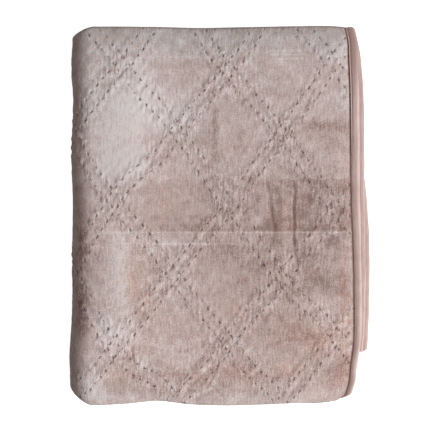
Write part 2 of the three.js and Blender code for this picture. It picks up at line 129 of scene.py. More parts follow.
# Where the bound edges of the top pass lie, layer by layer, and those of the passes beneath it.
EDGES = table(
    "y first second third fourth",
    (252, 178.5, 180, 176, 174), (232, 183, 184.5, 178, 175.5), (211, 184, 188, 180, 177),
    (160, 186, 192, 184, 178), (80, 186.5, 193, 190, 179), (20, 187, 193, 196.5, 180),
    (-30, 188, 194, 199.5, 181), (-99, 189, 194.5, 200, 181), (-160, 188.5, 192.5, 198, 178),
    (-205, 183, 189, 195, 172), (-228, 181, 189, 195, 165), (-252, 173, 189, 195, 158),
)
LOWER_EDGES = table(
    "y first second third fourth",
    (252, 174, 175, 172, 174), (190, 181, 183, 180, 182), (60, 184, 187, 183, 185),
    (-110, 184, 186, 182, 185), (-180, 178, 180, 177, 178), (-228, 168, 169, 167, 168),
    (-252, 160, 161, 159, 160),
)
EDGE_FADE = 130

# How far the velvet of the top layer rolls out over its binding.
OVERROLL = table(
    "y out",
    (80, 0), (20, 0.4), (-30, 1.4), (-70, 2), (-140, 2.3), (-190, 3.4), (-240, 3.8),
)
OVERROLL_FADE = 50
SMALL_FOLD_X = 176
SMALL_FOLD_SLIP = table(
    "y out",
    (-40, 0), (-120, -1), (-180, -4), (-228, -10), (-252, -15),
)

# Near the bound edge the inner fold of the pad stops short of the foot, and the top layer sinks there.
INNER_FOLD_SHORT = 64
INNER_FOLD_FADE = 120
CORNER_DROP = 5.2
DROP_SLOPE = 42
DROP_PAST = 12

# How far the outline stands out of the plain rectangle, along each side, and how high the pile lies.
BIG_FOLD_OUTLINE = table(
    "y out",
    (250, 1.4), (205, 0.9), (188, 1.9), (166, 1.5), (120, 1.5), (60, 1.9), (-10, 0.4), (-130, 2),
    (-190, 4.2), (-250, 4.5),
)
FOOT_OUTLINE = table(
    "x out",
    (-152, 1.3), (-119, -0.8), (-79, -4.2), (-39, 0.4), (7, 1.7), (54, 0.8), (94, -0.2), (134, 0.2),
    (151, -2), (168, -6), (200, -9),
)
HEAD_OUTLINE = table(
    "x out",
    (-152, -1.8), (-79, -2.3), (-26, -3.6), (40, -2.5), (107, -1.1), (147, -0.9), (175, -2), (200, -4),
)
PILE_HEIGHT = table(
    "x share",
    (-197, 0.98), (-140, 1.01), (-60, 0.99), (20, 1), (90, 0.985), (150, 0.955), (200, 0.925),
)
FOOT_CORNER = 19.3
HEAD_CORNER = 11.5
CORNER_BEND = 1.4
SIDE_REACH = (20, 150)  # an outline moves the cloth whole to the first distance and not past the second
END_REACH = (15, 90)

# The relief of the velvet.
PUFF_HEIGHT = 1.0
PUFF_REACH = 18.0
PAIR_SHARE = 0.7  # how much of it rises between the two rows of a pair
ROW_SOFTNESS = 5.5
# dark: how much painted shade the pile gets at the bottom of a dent
DENT = dict(depth=1.5, wide=1.8, long=2.4, rim=0.4, rim_wide=4.4, dark=0.15)
DENT_CHANCE = dict(least=0.25, more=0.9, power=0.8)
WANDER = dict(aside=0.7, along=1.6)  # how far a stitch lies from its even place
PUCKERS = dict(height=0.62, reach=8.0, everywhere=0.12, wide=8.0, tall=15.0, on_fold=0.4)
SWELLS = dict(height=0.8, wide=95.0, tall=150.0, waves=12)
BIG_FOLD_ENDS = (1.6, 1.95)  # the relief fades between these, across the sheet
END_FOLD = dict(left=0.4, fade=0.035)  # how much of the relief is left on the end folds
END_CALM = dict(rise=(2.0, 2.12), fall=(2.93, 3.0))  # along the sheet
DITCH_ROLL = dict(depth=1.6, reach=4.0)
DITCH_PUCKERS = dict(height=0.3, reach=9.0, pitch=9.0, sway=2.5, sway_wave=23.0)
DITCH_SHADE_FADE = (0.2, 1.4)  # painted shade in the ditch fades out between these distances from its bottom
FINE_FROM_DITCH = 2.0
PUFFS_FROM_DITCH = 20.0

# Soft creases of the top layer: a trough from one point to another, bowed to its right by bow. On its left
# stands a low ridge, sized in shares of the trough. Where it has sunk far, the pile gets painted shade.
RIDGE = dict(aside=2.4, wide=1.5, high=0.35)
CREASE_SHADE = dict(share=0.45, power=1.5)
LINE_FADE = dict(share=0.3, far=6.0)  # how soon a crease or a pressed line fades at its ends, at most
CREASES = table(
    "x y to_x to_y bow wide deep",
    (98.5, 46, 97.7, 10, -1.5, 1.5, 2), (97.7, 12, 98.5, -22, -1.2, 1.4, 2.2),
    (98.5, -20, 103, -62, 1, 1.4, 2.1), (61.5, 48, 68, 14, -1, 1.5, 1.2),
    (67, 18, 74, -20, 0.5, 2.2, 1.7), (74, -16, 70, -49, 0.5, 1.8, 0.8),
    (118.5, 50, 119, 12, 0.5, 3.4, 0.9), (13.7, 28, 11.5, -8, 0.8, 1.3, 1),
    (37.2, 23, 32.5, -3, -0.6, 1.3, 0.7), (160.5, 18, 162, -4, 0.4, 2, 1.2),
    (-7, 143, -8.5, 88, -0.8, 3.2, 0.8), (-116.3, -173, -111.5, -198, 0.3, 1.3, 1.9),
    (-36, -244, -8, -231, 0.6, 1.6, 1.2), (-23, -247, 6, -236, 0.6, 1.7, 1),
    (-4, -206, -20, -232, -0.8, 1.4, 1.4), (-101.6, -149, -103, -162, 0.2, 1.4, 0.8),
    (105.6, -126, 105.6, -142, 0.2, 1.2, 0.9), (92, 246, 104, 233, 0.4, 1.8, 0.8),
    (112.7, 232, 121.5, 222, 0.3, 1.7, 0.8), (-64.7, -233, -21, -242, -1, 1.8, 0.8),
    (-12, -222, 8, -243, 1, 1.8, 0.8), (160, -205, 142, -222, 1, 2.2, 0.7),
)

# Where the pile of the top layer lies lighter or pinker than elsewhere: soft oval marks. The dark, browner
# marks along the big fold's left side and at the head edge are painted shade, where those sides turn from
# the light.
MARKS = table(
    "x y wide tall lift pink",
    (-112, 146, 44, 66, 0.34, -0.1), (-120, 66, 26, 22, 0.38, -0.1), (-150, 58, 22, 30, 0.2, 0),
    (-70, 140, 60, 26, 0.12, 0), (-132, -75, 15, 75, 0.26, -0.05), (-124, -100, 10, 40, 0.08, -0.15),
    (-117, -88, 8, 26, 0, 0.35), (-150, -145, 13, 28, 0, -0.4), (-167, -205, 14, 22, 0.1, -0.35),
    (-165, -232, 22, 16, 0.35, -0.1), (-130, -155, 26, 20, 0.26, 0), (-104, -198, 13, 12, 0.2, 0),
    (-184, -30, 10, 46, -0.3, 0.2), (-168, -115, 14, 60, 0, -0.4), (-183, -132, 12, 36, -0.5, 0.1),
    (-190, 40, 9, 260, -0.12, 0.5), (-170, 150, 30, 110, 0.1, -0.1), (0, 250, 300, 36, 0.08, -0.8),
    (0, 254, 300, 13, -0.38, -0.2), (-140, 238, 30, 12, -0.15, 0), (-30, 150, 300, 90, 0.02, -0.2),
    (-105, -10, 105, 330, 0.09, -0.05), (-42, 190, 30, 12, 0, 0.12), (-104, 112, 12, 22, 0, 0.25),
    (-60, 122, 26, 26, 0.13, -0.15), (-38, 125, 14, 14, 0.12, 0), (70, 110, 26, 20, 0.04, -0.1),
    (150, 150, 34, 22, 0.1, -0.1), (150, 212, 20, 18, 0.22, -0.1), (150, 117, 34, 10, -0.3, 0.35),
    (150, 101, 22, 15, -0.06, 0.1), (70, 126, 14, 13, 0.12, 0), (-36, 158, 16, 22, 0.08, 0),
    (166, 212, 7, 26, 0.1, 0), (123, 128, 14, 13, -0.1, 0.1), (149, 48, 20, 15, -0.14, 0),
    (70, 49, 14, 13, -0.1, 0), (123, 181, 14, 12, -0.08, 0), (85, 107, 34, 8, -0.12, 0.2),
    (20, 92, 90, 10, -0.06, 0.15), (-9, 95, 6, 44, -0.16, 0), (-75, 15, 12, 34, 0, 0.2),
    (10, 26, 20, 18, 0.2, 0), (-88, -30, 30, 12, 0.1, 0), (-62, -70, 16, 22, 0.1, 0),
    (78, -30, 22, 15, -0.2, 0), (96, -4, 16, 17, -0.14, 0), (43, -83, 26, 20, -0.14, 0.1),
    (108, 10, 18, 36, -0.24, 0.05), (80, 12, 6, 38, -0.2, 0), (70, -10, 9, 16, -0.25, 0),
    (112, -50, 14, 26, -0.2, 0), (8, -46, 24, 20, -0.26, -0.05), (40, -45, 70, 30, -0.1, -0.1),
    (-80, -46, 26, 14, 0.15, 0), (88, -60, 4, 50, 0.2, 0.1), (87, 12, 4, 38, 0.14, 0.3),
    (107, -40, 8, 12, 0.18, 0), (153, -33, 20, 15, -0.3, 0), (126, -93, 42, 26, -0.34, -0.1),
    (96, -174, 22, 22, -0.1, 0), (-88, -156, 22, 24, 0.13, 0), (43, -189, 16, 14, 0.12, 0),
    (43, -217, 18, 12, 0, 0.25), (80, -75, 12, 24, 0.05, 0.2), (87, -112, 12, 12, -0.2, 0),
    (86, -150, 34, 24, -0.25, 0.1), (127, -165, 18, 15, -0.25, 0), (133, -165, 24, 24, 0, 0.45),
    (4, -215, 24, 12, -0.1, 0), (28, -125, 12, 34, 0.05, 0.25), (166, -110, 8, 90, 0, 0.4),
    (152, -98, 22, 14, -0.12, 0), (150, -172, 18, 18, 0.12, 0), (166, 60, 7, 60, -0.05, 0.3),
    (-130, -215, 22, 13, 0, 0.4), (-38, -212, 20, 11, 0, 0.2), (24, -205, 24, 14, -0.05, 0.4),
    (94, -205, 26, 12, 0, 0.4), (162, -208, 16, 22, -0.25, 0.4), (-60, -185, 40, 14, 0.14, -0.1),
    (-20, -245, 220, 10, 0.1, -0.25), (-165, -50, 20, 32, -0.12, 0), (140, -54, 52, 11, -0.14, 0),
    (60, -66, 30, 16, -0.08, 0), (-168, 165, 13, 42, 0.1, 0), (166, 142, 6, 26, 0.12, 0),
    (-115, 76, 14, 15, 0.1, 0), (-30, 74, 26, 16, 0.08, 0), (-141, -166, 15, 22, 0.1, 0),
    (-50, -162, 26, 12, 0.08, 0), (150, -214, 26, 15, -0.12, 0), (4, -189, 20, 12, -0.09, 0),
    (-62, -30, 11, 12, -0.1, 0), (17, -110, 17, 14, -0.1, 0), (-108, -95, 22, 115, 0.03, 0.35),
    (0, -150, 300, 110, 0.02, 0.22), (149, -130, 30, 24, 0.03, 0), (43, 190, 90, 26, 0.07, 0),
    (67, 100, 16, 14, 0.1, 0), (88, -35, 26, 16, -0.08, 0), (84, -78, 20, 16, -0.07, 0),
    (-82, 92, 28, 22, 0, 0.28), (-50, -110, 30, 24, 0.04, -0.15), (130, -115, 24, 12, 0.22, 0),
    (142, -146, 16, 10, 0.2, -0.1),
)

# Where the cloth is crumpled more than elsewhere round its stitches, or less.
CRUMPLED_RANGE = dict(plain=0.9, least=0.3, most=1.5)
CRUMPLED = table(
    "x y wide tall more",
    (-125, 120, 70, 90, -0.4), (150, 190, 40, 50, -0.3), (12, 176, 18, 40, 0.45), (88, 90, 24, 40, 0.5),
    (-50, 105, 30, 26, 0.35), (8, 20, 22, 34, 0.5), (146, 14, 20, 26, 0.4), (83, -78, 16, 36, 0.6),
    (-71, -80, 26, 26, 0.4), (-5, -172, 34, 26, 0.5), (-117, -195, 30, 34, 0.4), (67, -212, 60, 20, 0.4),
    (-40, -225, 60, 20, 0.4), (140, -130, 24, 34, 0.35), (-62, 12, 26, 24, -0.3),
    (0, -110, 30, 36, -0.25), (-150, 228, 34, 24, -0.4), (150, 235, 30, 20, -0.3),
)

# Pile pressed down in bands with straight edges, where the cloth lay folded another way.
BANDS = table(
    "x to_x low high lift pink",
    (-92, 190, -21.5, 47.5, -0.11, 0.08), (-165, -92, -21.5, 47.5, -0.02, 0.05),
    (30, 190, -21.5, 47.5, -0.06, 0), (-150, 190, -21.5, -13, -0.09, 0.05),
    (-100, -5, -260, 208, -0.02, 0.12),
)
BAND_EDGE = 1.6
BAND_SIDE = 14.0

# Light lines that a fold has pressed into the pile.
PRESSED_LINES = table(
    "x y to_x to_y wide lift",
    (-150, -23.5, 170, -22.5, 1.1, 0.2), (-87, -38, 2, -38, 0.9, 0.34), (2, -38.5, 30, -39, 0.9, 0.2),
    (14, -53.5, 38, -52, 1, 0.24), (106, -34, 168, -20, 1, 0.26), (132, -31, 152, -27, 0.8, 0.24),
    (60, 216.5, 103, 217, 1, 0.26), (64, 211.5, 116, 213, 1, 0.22), (78, 206.5, 110, 206.5, 0.9, 0.2),
    (-109, 208.5, -12, 209.5, 1, 0.14), (-88, -82, -74, -79, 0.9, 0.26),
    (82, -168.5, 136, -167.5, 0.9, 0.24), (84, -222, 132, -221, 1, 0.2),
    (-100, -95, -10, -95.5, 0.8, 0.08),
)

# How finely the meshes are made: the steps along the cloth, and the steps in a fold's half turn.
FINE = 1.92
COARSE = 22.0
COARSE_AT_FOOT = 9.0
FOOT_STRETCH = 100.0
BIG_TURN_STEPS = 42
TURN_STEPS = dict(foot=16, head=10, inner=6, small=12)
DITCH_STEPS = (0.7, 1.5, 2.6)
AFTER_DITCH = 4.0
BEFORE_LAST_DITCH = 16.0
TAPE_STEP = 3.4
TAPE_TURN_STEP = 1.3

# Colours, in linear light.
# The pile's deep tone, which is also the colour of painted shade in the stitch dents and on the big fold's
# side.
PILE_DEEP_AND_SHADE = (0.250, 0.168, 0.150, 1.0)
# The colour of painted shade in the ditch, the dents and the deeper creases.
PAINTED_SHADE_COLOUR = (0.200, 0.098, 0.078, 1.0)
PILE_MID = (0.452, 0.356, 0.337, 1.0)
PILE_LIGHT = (0.640, 0.570, 0.562, 1.0)
PINK_TINT = (1.0, 0.86, 0.80, 1.0)
COOL_TINT = (0.875, 0.975, 1.0, 1.0)
SHEEN_TINT = (1.0, 0.90, 0.86, 1.0)
TAPE_COLOUR = (0.680, 0.520, 0.492, 1.0)
TAPE_SHADE = (0.510, 0.360, 0.328, 1.0)
# The colour of the tape's painted shade.
TAPE_SHADOW_COLOUR = (0.285, 0.170, 0.150, 1.0)
BACKING_COLOUR = (0.470, 0.370, 0.345, 1.0)
BACKING_SHADE = (0.380, 0.285, 0.262, 1.0)
THREAD_COLOUR = (0.400, 0.268, 0.228, 1.0)
THREAD_SHADE = (0.270, 0.172, 0.142, 1.0)
FLOOR_COLOUR = (0.60, 0.60, 0.60, 1.0)
FLOOR_SHADE = (0.55, 0.55, 0.55, 1.0)
FLOOR_HALF = 3.0
FLOOR_DROP = 0.0004
LIGHT_AIM = (0.0, 0.0, 0.03)
ROOM_COLOUR = (1.0, 0.88, 0.80, 1.0)
ROOM_STRENGTH = 0.16

# The photograph's frame: 430 pixels of 1.32 mm, and its middle on the pile.
FRAME_WIDTH = 430 * 1.32
FRAME_MIDDLE = (-5.28, 0.0)
CAMERA_DISTANCE = 2600.0
SENSOR = 36.0


def smoothstep(x, low, high):
    """0 below low, 1 above high, and a smooth rise between."""
    t = np.clip((np.asarray(x, float) - low) / (high - low), 0.0, 1.0)
    return t * t * (3.0 - 2.0 * t)


def lerp(a, b, share):
    return a + (b - a) * share


def plateau(x, rise, fall):
    """1 between a rise and a fall, each given by where it starts and ends, and 0 outside them."""
    return smoothstep(x, *rise) * (1 - smoothstep(x, *fall))


def oval(x, y, mark):
    """How near the middle of a table's soft oval mark each point lies, from 0 to 1."""
    return np.exp(-(((x - mark["x"]) / mark["wide"]) ** 2) - ((y - mark["y"]) / mark["tall"]) ** 2)


def smooth_curve(rows, key, column):
    """The smooth curve through a table's rows, as a function of its key, level past both ends."""
    rows = sorted(rows, key=lambda row: row[key])
    at = np.array([row[key] for row in rows], float)
    value = np.array([row[column] for row in rows], float)
    last = len(rows) - 1
    below = np.maximum(np.arange(last + 1) - 1, 0)
    above = np.minimum(np.arange(last + 1) + 1, last)
    slope = (value[above] - value[below]) / (at[above] - at[below])

    def curve(x):
        x = np.clip(np.asarray(x, float), at[0], at[-1])
        i = np.clip(np.searchsorted(at, x, side="right") - 1, 0, last - 1)
        span = at[i + 1] - at[i]
        t = (x - at[i]) / span
        rise = value[i + 1] - value[i]
        leave = slope[i] * span
        arrive = slope[i + 1] * span
        square = 3 * rise - 2 * leave - arrive
        cube = leave + arrive - 2 * rise
        return value[i] + t * (leave + t * (square + t * cube))

    return curve


# The walks through the passes and the layers.


def run(start, end, level, sunk=None, until=None):
    """A straight leg. Where it sinks, its level falls to sunk before it reaches until."""

    def leg(share):
        reach = lerp(start, end, share)
        height = level + 0 * reach
        if sunk is not None:
            height = lerp(height, sunk, 1 - smoothstep(reach, until - DROP_SLOPE, until))
        return reach, height, np.sign(end - start) + 0 * reach, 0 * reach

    return leg


def turn(side, centre, level, following):
    """A half turn from one level to the next one."""

    def leg(share):
        angle = share * np.pi
        half = (level - following) / 2
        reach = centre + side * np.abs(half) * np.sin(angle)
        height = level - half * (1 - np.cos(angle))
        return reach, height, side * np.cos(angle), -np.sign(half) * np.sin(angle)

    return leg


def step_to(legs, at):
    """The reach, level and heading of places on a walk."""
    index = np.clip(np.floor(at), 0, len(legs) - 1).astype(int)
    made = [leg(at - index) for leg in legs]
    return [np.choose(index, [np.broadcast_to(leg[k], index.shape) for leg in made]) for k in range(4)]


BIG_FOLD_CENTRE = BIG_FOLD_X + 2 * PAD + 1.5 * PASS_GAP
SMALL_FOLD_CENTRE = SMALL_FOLD_X - PAD - PASS_GAP / 2
RAW_EDGE_X = 186
TOP_RUN = RAW_EDGE_X - BIG_FOLD_CENTRE
PASSES = [
    run(RAW_EDGE_X, BIG_FOLD_CENTRE, PASS["first"]),
    turn(-1, BIG_FOLD_CENTRE, PASS["first"], PASS["fourth"]),
    run(BIG_FOLD_CENTRE, SMALL_FOLD_CENTRE, PASS["fourth"]),
    turn(1, SMALL_FOLD_CENTRE, PASS["fourth"], PASS["third"]),
    run(SMALL_FOLD_CENTRE, BIG_FOLD_CENTRE, PASS["third"]),
    turn(-1, BIG_FOLD_CENTRE, PASS["third"], PASS["second"]),
    run(BIG_FOLD_CENTRE, RAW_EDGE_X, PASS["second"]),
]
LAST = 6  # the last leg of either walk
HEAD_FOLD = 3  # the leg that turns tightly round the sheet's back
INNER_FOOT_FOLD = 5  # the leg that turns tightly round its velvet

OUTER_FOOT = FOOT_Y + PAD / 2
JOINED_HEAD = HEAD_Y - SHEET - LAYER_GAP / 2
FREE_HEAD = dict(fourth=HEAD_Y - 15, third=HEAD_Y - 9)
FIRST_LENGTH = FREE_HEAD["fourth"] - OUTER_FOOT
LAST_LENGTH = FREE_HEAD["third"] - OUTER_FOOT
LAYER_NAMES = ["fourth", None, "first", None, "second", None, "third"]


def from_edge(at, first_length, last_length):
    """Millimetres from the nearer bound edge of a walk, on its first and its last leg."""
    last = (LAST + 1 - at) * last_length
    return np.where(at < 1, at * first_length, np.where(at > LAST, last, np.inf))


def from_side_edge(across):
    return from_edge(across, TOP_RUN, TOP_RUN)


def from_end_edge(along):
    return from_edge(along, FIRST_LENGTH, LAST_LENGTH)


def walk_layers(across, along):
    fade = smoothstep(np.minimum(from_side_edge(across), INNER_FOLD_FADE), 0, INNER_FOLD_FADE)
    short = np.where(across < 1, INNER_FOLD_SHORT * (1 - fade), 0.0)
    sunk = LAYER["first"] - CORNER_DROP * np.clip(short / DROP_SLOPE, 0, 1)
    inner_foot = OUTER_FOOT + short
    legs = [
        run(FREE_HEAD["fourth"], OUTER_FOOT, LAYER["fourth"]),
        turn(-1, OUTER_FOOT, LAYER["fourth"], sunk),
        run(OUTER_FOOT, JOINED_HEAD, LAYER["first"], sunk, inner_foot - DROP_PAST),
        turn(1, JOINED_HEAD, LAYER["first"], LAYER["second"]),
        run(JOINED_HEAD, inner_foot, LAYER["second"]),
        turn(-1, inner_foot, LAYER["second"], LAYER["third"]),
        run(inner_foot, FREE_HEAD["third"], LAYER["third"]),
    ]
    return step_to(legs, along)


def edge_curves(rows):
    """How far out the bound edges of a table's layers lie, leg by leg of the sheet's walk."""
    curves = {name: smooth_curve(rows, "y", name) for name in LAYER}
    return [curves[name] if name else None for name in LAYER_NAMES]


TOP_EDGE_CURVES = edge_curves(EDGES)
LOWER_EDGE_CURVES = edge_curves(LOWER_EDGES)


def edge_slip(across, along, y):
    index = np.clip(np.floor(along), 0, LAST).astype(int)
    slips = []
    for curves in (TOP_EDGE_CURVES, LOWER_EDGE_CURVES):
        level = [curve(y) if curve else None for curve in curves]
        for k in (1, 3, 5):
            level[k] = lerp(level[k - 1], level[k + 1], along - index)
        slips.append(np.choose(index, level) - BINDING_PAST - RAW_EDGE_X)
    return np.where(across < 1, slips[0], slips[1])


SMALL_FOLD_CURVE = smooth_curve(SMALL_FOLD_SLIP, "y", "out")


def slip(across, along, y, reach):
    """How far a point has slipped along X."""
    edge = 1 - smoothstep(np.minimum(from_side_edge(across), EDGE_FADE), 0, EDGE_FADE)
    fold = smoothstep(reach, SMALL_FOLD_CENTRE - EDGE_FADE, SMALL_FOLD_CENTRE) * SMALL_FOLD_CURVE(y)
    plain = np.where((across < 2) | (across > 5), 0.0, fold)
    return np.where(edge > 0, edge * edge_slip(across, along, y), plain)


BIG_FOLD_CURVE = smooth_curve(BIG_FOLD_OUTLINE, "y", "out")
FOOT_CURVE = smooth_curve(FOOT_OUTLINE, "x", "out")
HEAD_CURVE = smooth_curve(HEAD_OUTLINE, "x", "out")
HEIGHT_CURVE = smooth_curve(PILE_HEIGHT, "x", "share")


def settle(x, y, z):
    """The unevenness of the pile: a smooth shift of every point, which leaves the floor flat."""
    near_fold = 1 - smoothstep(x, BIG_FOLD_X + SIDE_REACH[0], BIG_FOLD_X + SIDE_REACH[1])
    near_foot = 1 - smoothstep(y, FOOT_Y + END_REACH[0], FOOT_Y + END_REACH[1])
    near_head = smoothstep(y, HEAD_Y - END_REACH[1], HEAD_Y - END_REACH[0])
    corner = np.maximum(0, (BIG_FOLD_CENTRE - x) / (BIG_FOLD_CENTRE - BIG_FOLD_X)) ** CORNER_BEND
    foot = near_foot * (FOOT_CURVE(x) - FOOT_CORNER * corner)
    head = near_head * (HEAD_CURVE(x) - HEAD_CORNER * corner)
    return np.stack([x - near_fold * BIG_FOLD_CURVE(y), y - foot + head, z * HEIGHT_CURVE(x)], axis=-1)


def place(across, along, offset):
    """The points of the folded cloth named by (across, along, offset), in millimetres."""
    across, along, offset = np.broadcast_arrays(*(np.asarray(a, float) for a in (across, along, offset)))
    reach, level, heading_reach, heading_level = walk_layers(across, along)
    y = reach - offset * heading_level
    rise = level + offset * heading_reach - PAD / 2
    reach, level, heading_reach, heading_level = step_to(PASSES, across)
    x = reach + rise * heading_level + slip(across, along, y, reach)
    return settle(x, y, level - rise * heading_reach)


# The flat cloth: where a place on the two walks lies on it.
BIG_TURN = np.pi * (BIG_FOLD_CENTRE - BIG_FOLD_X)
SMALL_TURN = np.pi * PASS_PITCH / 2
LONG_RUN = SMALL_FOLD_CENTRE - BIG_FOLD_CENTRE
FOOT_TURN = np.pi * PAD / 2
HEAD_TURN = np.pi * (PITCH + SHEET) / 2
TOP_LENGTH = JOINED_HEAD - OUTER_FOOT
ACROSS_LENGTHS = [TOP_RUN, BIG_TURN, LONG_RUN, SMALL_TURN, LONG_RUN, SMALL_TURN, TOP_RUN]
ALONG_LENGTHS = [FIRST_LENGTH, FOOT_TURN, TOP_LENGTH, HEAD_TURN, TOP_LENGTH, HEAD_TURN, LAST_LENGTH]
FLAT_ACROSS = RAW_EDGE_X - np.concatenate([[0], np.cumsum(ACROSS_LENGTHS)])
FLAT_ALONG = OUTER_FOOT - FIRST_LENGTH - FOOT_TURN + np.concatenate([[0], np.cumsum(ALONG_LENGTHS)])
LEGS = np.arange(LAST + 2)


def flat_place(across, along):
    return np.interp(across, LEGS, FLAT_ACROSS), np.interp(along, LEGS, FLAT_ALONG)


def folded_place(u, v):
    """The place on the walks of a point of the flat cloth."""
    return np.interp(-u, -FLAT_ACROSS, LEGS), np.interp(v, FLAT_ALONG, LEGS)


def crossing_shift(u, v):
    """How far the stitched rows stand from the even lattice, from the crossings in the table."""
    weight = EVEN_WEIGHT + 0 * u
    right = 0 * u
    up = 0 * u
    for crossing in CROSSINGS:
        near = oval(u, v, {**crossing, **CROSSING_REACH})
        weight = weight + near
        right = right + near * crossing["right"]
        up = up + near * crossing["up"]
    sway_right = ROW_SWAY["far"] * np.sin(v / ROW_SWAY["right"][0] + u / ROW_SWAY["right"][1])
    sway_up = ROW_SWAY["far"] * np.sin(u / ROW_SWAY["up"][0] - v / ROW_SWAY["up"][1])
    return right / weight + sway_right, up / weight + sway_up


def lattice_place(u, v):
    """Columns and rows of the quilting's grid at a point of the flat cloth."""
    right, up = crossing_shift(u, v)
    return (u - right - LATTICE_X) / CELL_X, (v - up - LATTICE_Y) / CELL_Y


def stitched_row(column, row, lean):
    """The nearest stitched row that leans one way: the distance from it, less than 0 inside its pair,
    which row it is, and how many stitches along it a point lies."""
    at = column + lean * row
    pair = np.round(at / (2 * CELLS))
    cells = at - 2 * CELLS * pair
    line = 2 * pair + (cells > 0)
    length = (column - lean * row) / 2 * CELL_DIAGONAL
    return (np.abs(cells) - 1) * ROW_STEP, line, length / STITCH_PITCH + ROW_PHASE * line


def chance(line, stitch, lean, which):
    """One of a few numbers from 0 to 1 that belong to one stitch."""
    seed = line * LUCK["line"] + stitch * LUCK["stitch"] + lean * LUCK["lean"] + which * LUCK["which"]
    return np.modf(np.abs(np.sin(seed) * LUCK["spread"]))[0]


def ripples(u, v, wave_u, wave_v, seed, count=36):
    """Smooth uneven waves about as long as wave_u and wave_v, between about -2 and 2."""
    draw = np.random.default_rng(seed)
    total = 0 * u
    for _ in range(count):
        angle = draw.uniform(0, 2 * np.pi)
        stretch = draw.uniform(0.6, 1.5)
        phase = draw.uniform(0, 2 * np.pi)
        wave = u * np.cos(angle) / wave_u + v * np.sin(angle) / wave_v
        total = total + np.sin(2 * np.pi * stretch * wave + phase)
    return total * np.sqrt(2 / count)


def along_line(x, y, row):
    """The distance from a table's line, bowed as the table says, and how near its middle the point is."""
    dx = row["to_x"] - row["x"]
    dy = row["to_y"] - row["y"]
    length = math.hypot(dx, dy)
    share = ((x - row["x"]) * dx + (y - row["y"]) * dy) / length**2
    bow = 4 * row.get("bow", 0.0) * share * (1 - share)
    distance = ((x - row["x"]) * dy - (y - row["y"]) * dx) / length - bow
    fade = min(LINE_FADE["share"], LINE_FADE["far"] / length)
    return distance, plateau(share, (-fade / 2, fade), (1 - fade, 1 + fade / 2))


def relief_share(across, along):
    """Where the quilting stands in relief: on what shows, less on the end folds, not inside the pile."""
    big = 1 - smoothstep(across, *BIG_FOLD_ENDS)
    left = END_FOLD["left"]
    end = lerp(left, 1.0, plateau(along, (2, 2 + END_FOLD["fade"]), (3 - END_FOLD["fade"], 3)))
    bend = np.sin(np.pi * np.clip(np.where(along < 2.5, along - 1, along - 3), 0, 1)) * left
    near_half = np.where((along >= 1.5) & (along <= 3.5), big * left, 0.0)
    turned = np.where((along < 1) | (along > 4), 0.0, np.maximum(bend, near_half))
    return np.where((along >= 2) & (along <= 3), big * end, turned)


def relief(across, along):
    """Height of the velvet above the plain sheet, and from 0 to 1 how deep in a dent or ditch it lies,
    which becomes painted shade on its pile.
    """
    u, v = flat_place(across, along)
    column, row = lattice_place(u, v)
    rise = 1.0
    dents = 0 * u
    nearest = np.inf + 0 * u
    for lean in (1, -1):
        distance, line, stitches = stitched_row(column, row, lean)
        stitch = np.round(stitches)
        soft = np.sqrt(distance**2 + ROW_SOFTNESS**2) - ROW_SOFTNESS
        lifted = 1 - np.exp(-soft / PUFF_REACH)
        rise = rise * np.where(distance < 0, lifted * PAIR_SHARE, lifted)
        luck = chance(line, stitch, lean, 0) ** DENT_CHANCE["power"]
        aside = distance - WANDER["aside"] * (2 * chance(line, stitch, lean, 1) - 1)
        onward = WANDER["along"] * (chance(line, stitch, lean, 2) - 0.5)
        ahead = (stitches - stitch) * STITCH_PITCH - onward
        dent = np.exp(-((aside / DENT["wide"]) ** 2) - ((ahead / DENT["long"]) ** 2))
        rim = np.exp(-((aside**2 + ahead**2) / DENT["rim_wide"] ** 2)) * DENT["rim"]
        dents = dents + (dent - rim) * (DENT_CHANCE["least"] + DENT_CHANCE["more"] * luck)
        nearest = np.minimum(nearest, np.abs(distance))
    ends = plateau(along, **END_CALM)
    near_rows = lerp(PUCKERS["everywhere"], 1.0, np.exp(-nearest / PUCKERS["reach"]))
    puckers = PUCKERS["height"] * near_rows * ripples(u, v, PUCKERS["wide"], PUCKERS["tall"], seed=5)
    puckers = puckers * lerp(PUCKERS["on_fold"], 1.0, ends)
    swells = ripples(u, v, SWELLS["wide"], SWELLS["tall"], seed=11, count=SWELLS["waves"])
    puffs = PUFF_HEIGHT * rise + SWELLS["height"] * ends * swells
    edge = from_side_edge(across) - DITCH
    inside = np.clip(edge, 0, None)
    roll = DITCH_ROLL["depth"] * np.exp(-inside / DITCH_ROLL["reach"]) * (across < 1)
    sway = DITCH_PUCKERS["sway"] * np.sin(v / DITCH_PUCKERS["sway_wave"])
    gathers = np.sin(2 * np.pi * v / DITCH_PUCKERS["pitch"] + sway)
    gathered = DITCH_PUCKERS["height"] * gathers * np.exp(-inside / DITCH_PUCKERS["reach"])
    fine = (gathered + puckers - DENT["depth"] * dents) * smoothstep(edge, 0, FINE_FROM_DITCH)
    plain = puffs * smoothstep(edge, 0, PUFFS_FROM_DITCH) - roll * (edge > -PRESSED_STEP)
    # Painted shade: a little in the dents, and full down in the ditch.
    deep = np.maximum(DENT["dark"] * np.clip(dents, 0, 1), 1 - smoothstep(edge, *DITCH_SHADE_FADE))
    return plain + fine, deep


def creases(x, y):
    """How far the creases lower the top layer."""
    depth = 0 * x
    for crease in CREASES:
        distance, ends = along_line(x, y, crease)
        trough = np.exp(-((distance / crease["wide"]) ** 2))
        beyond = distance + RIDGE["aside"] * crease["wide"]
        ridge = np.exp(-((beyond / (RIDGE["wide"] * crease["wide"])) ** 2))
        depth = depth + crease["deep"] * ends * (trough - RIDGE["high"] * ridge)
    return depth


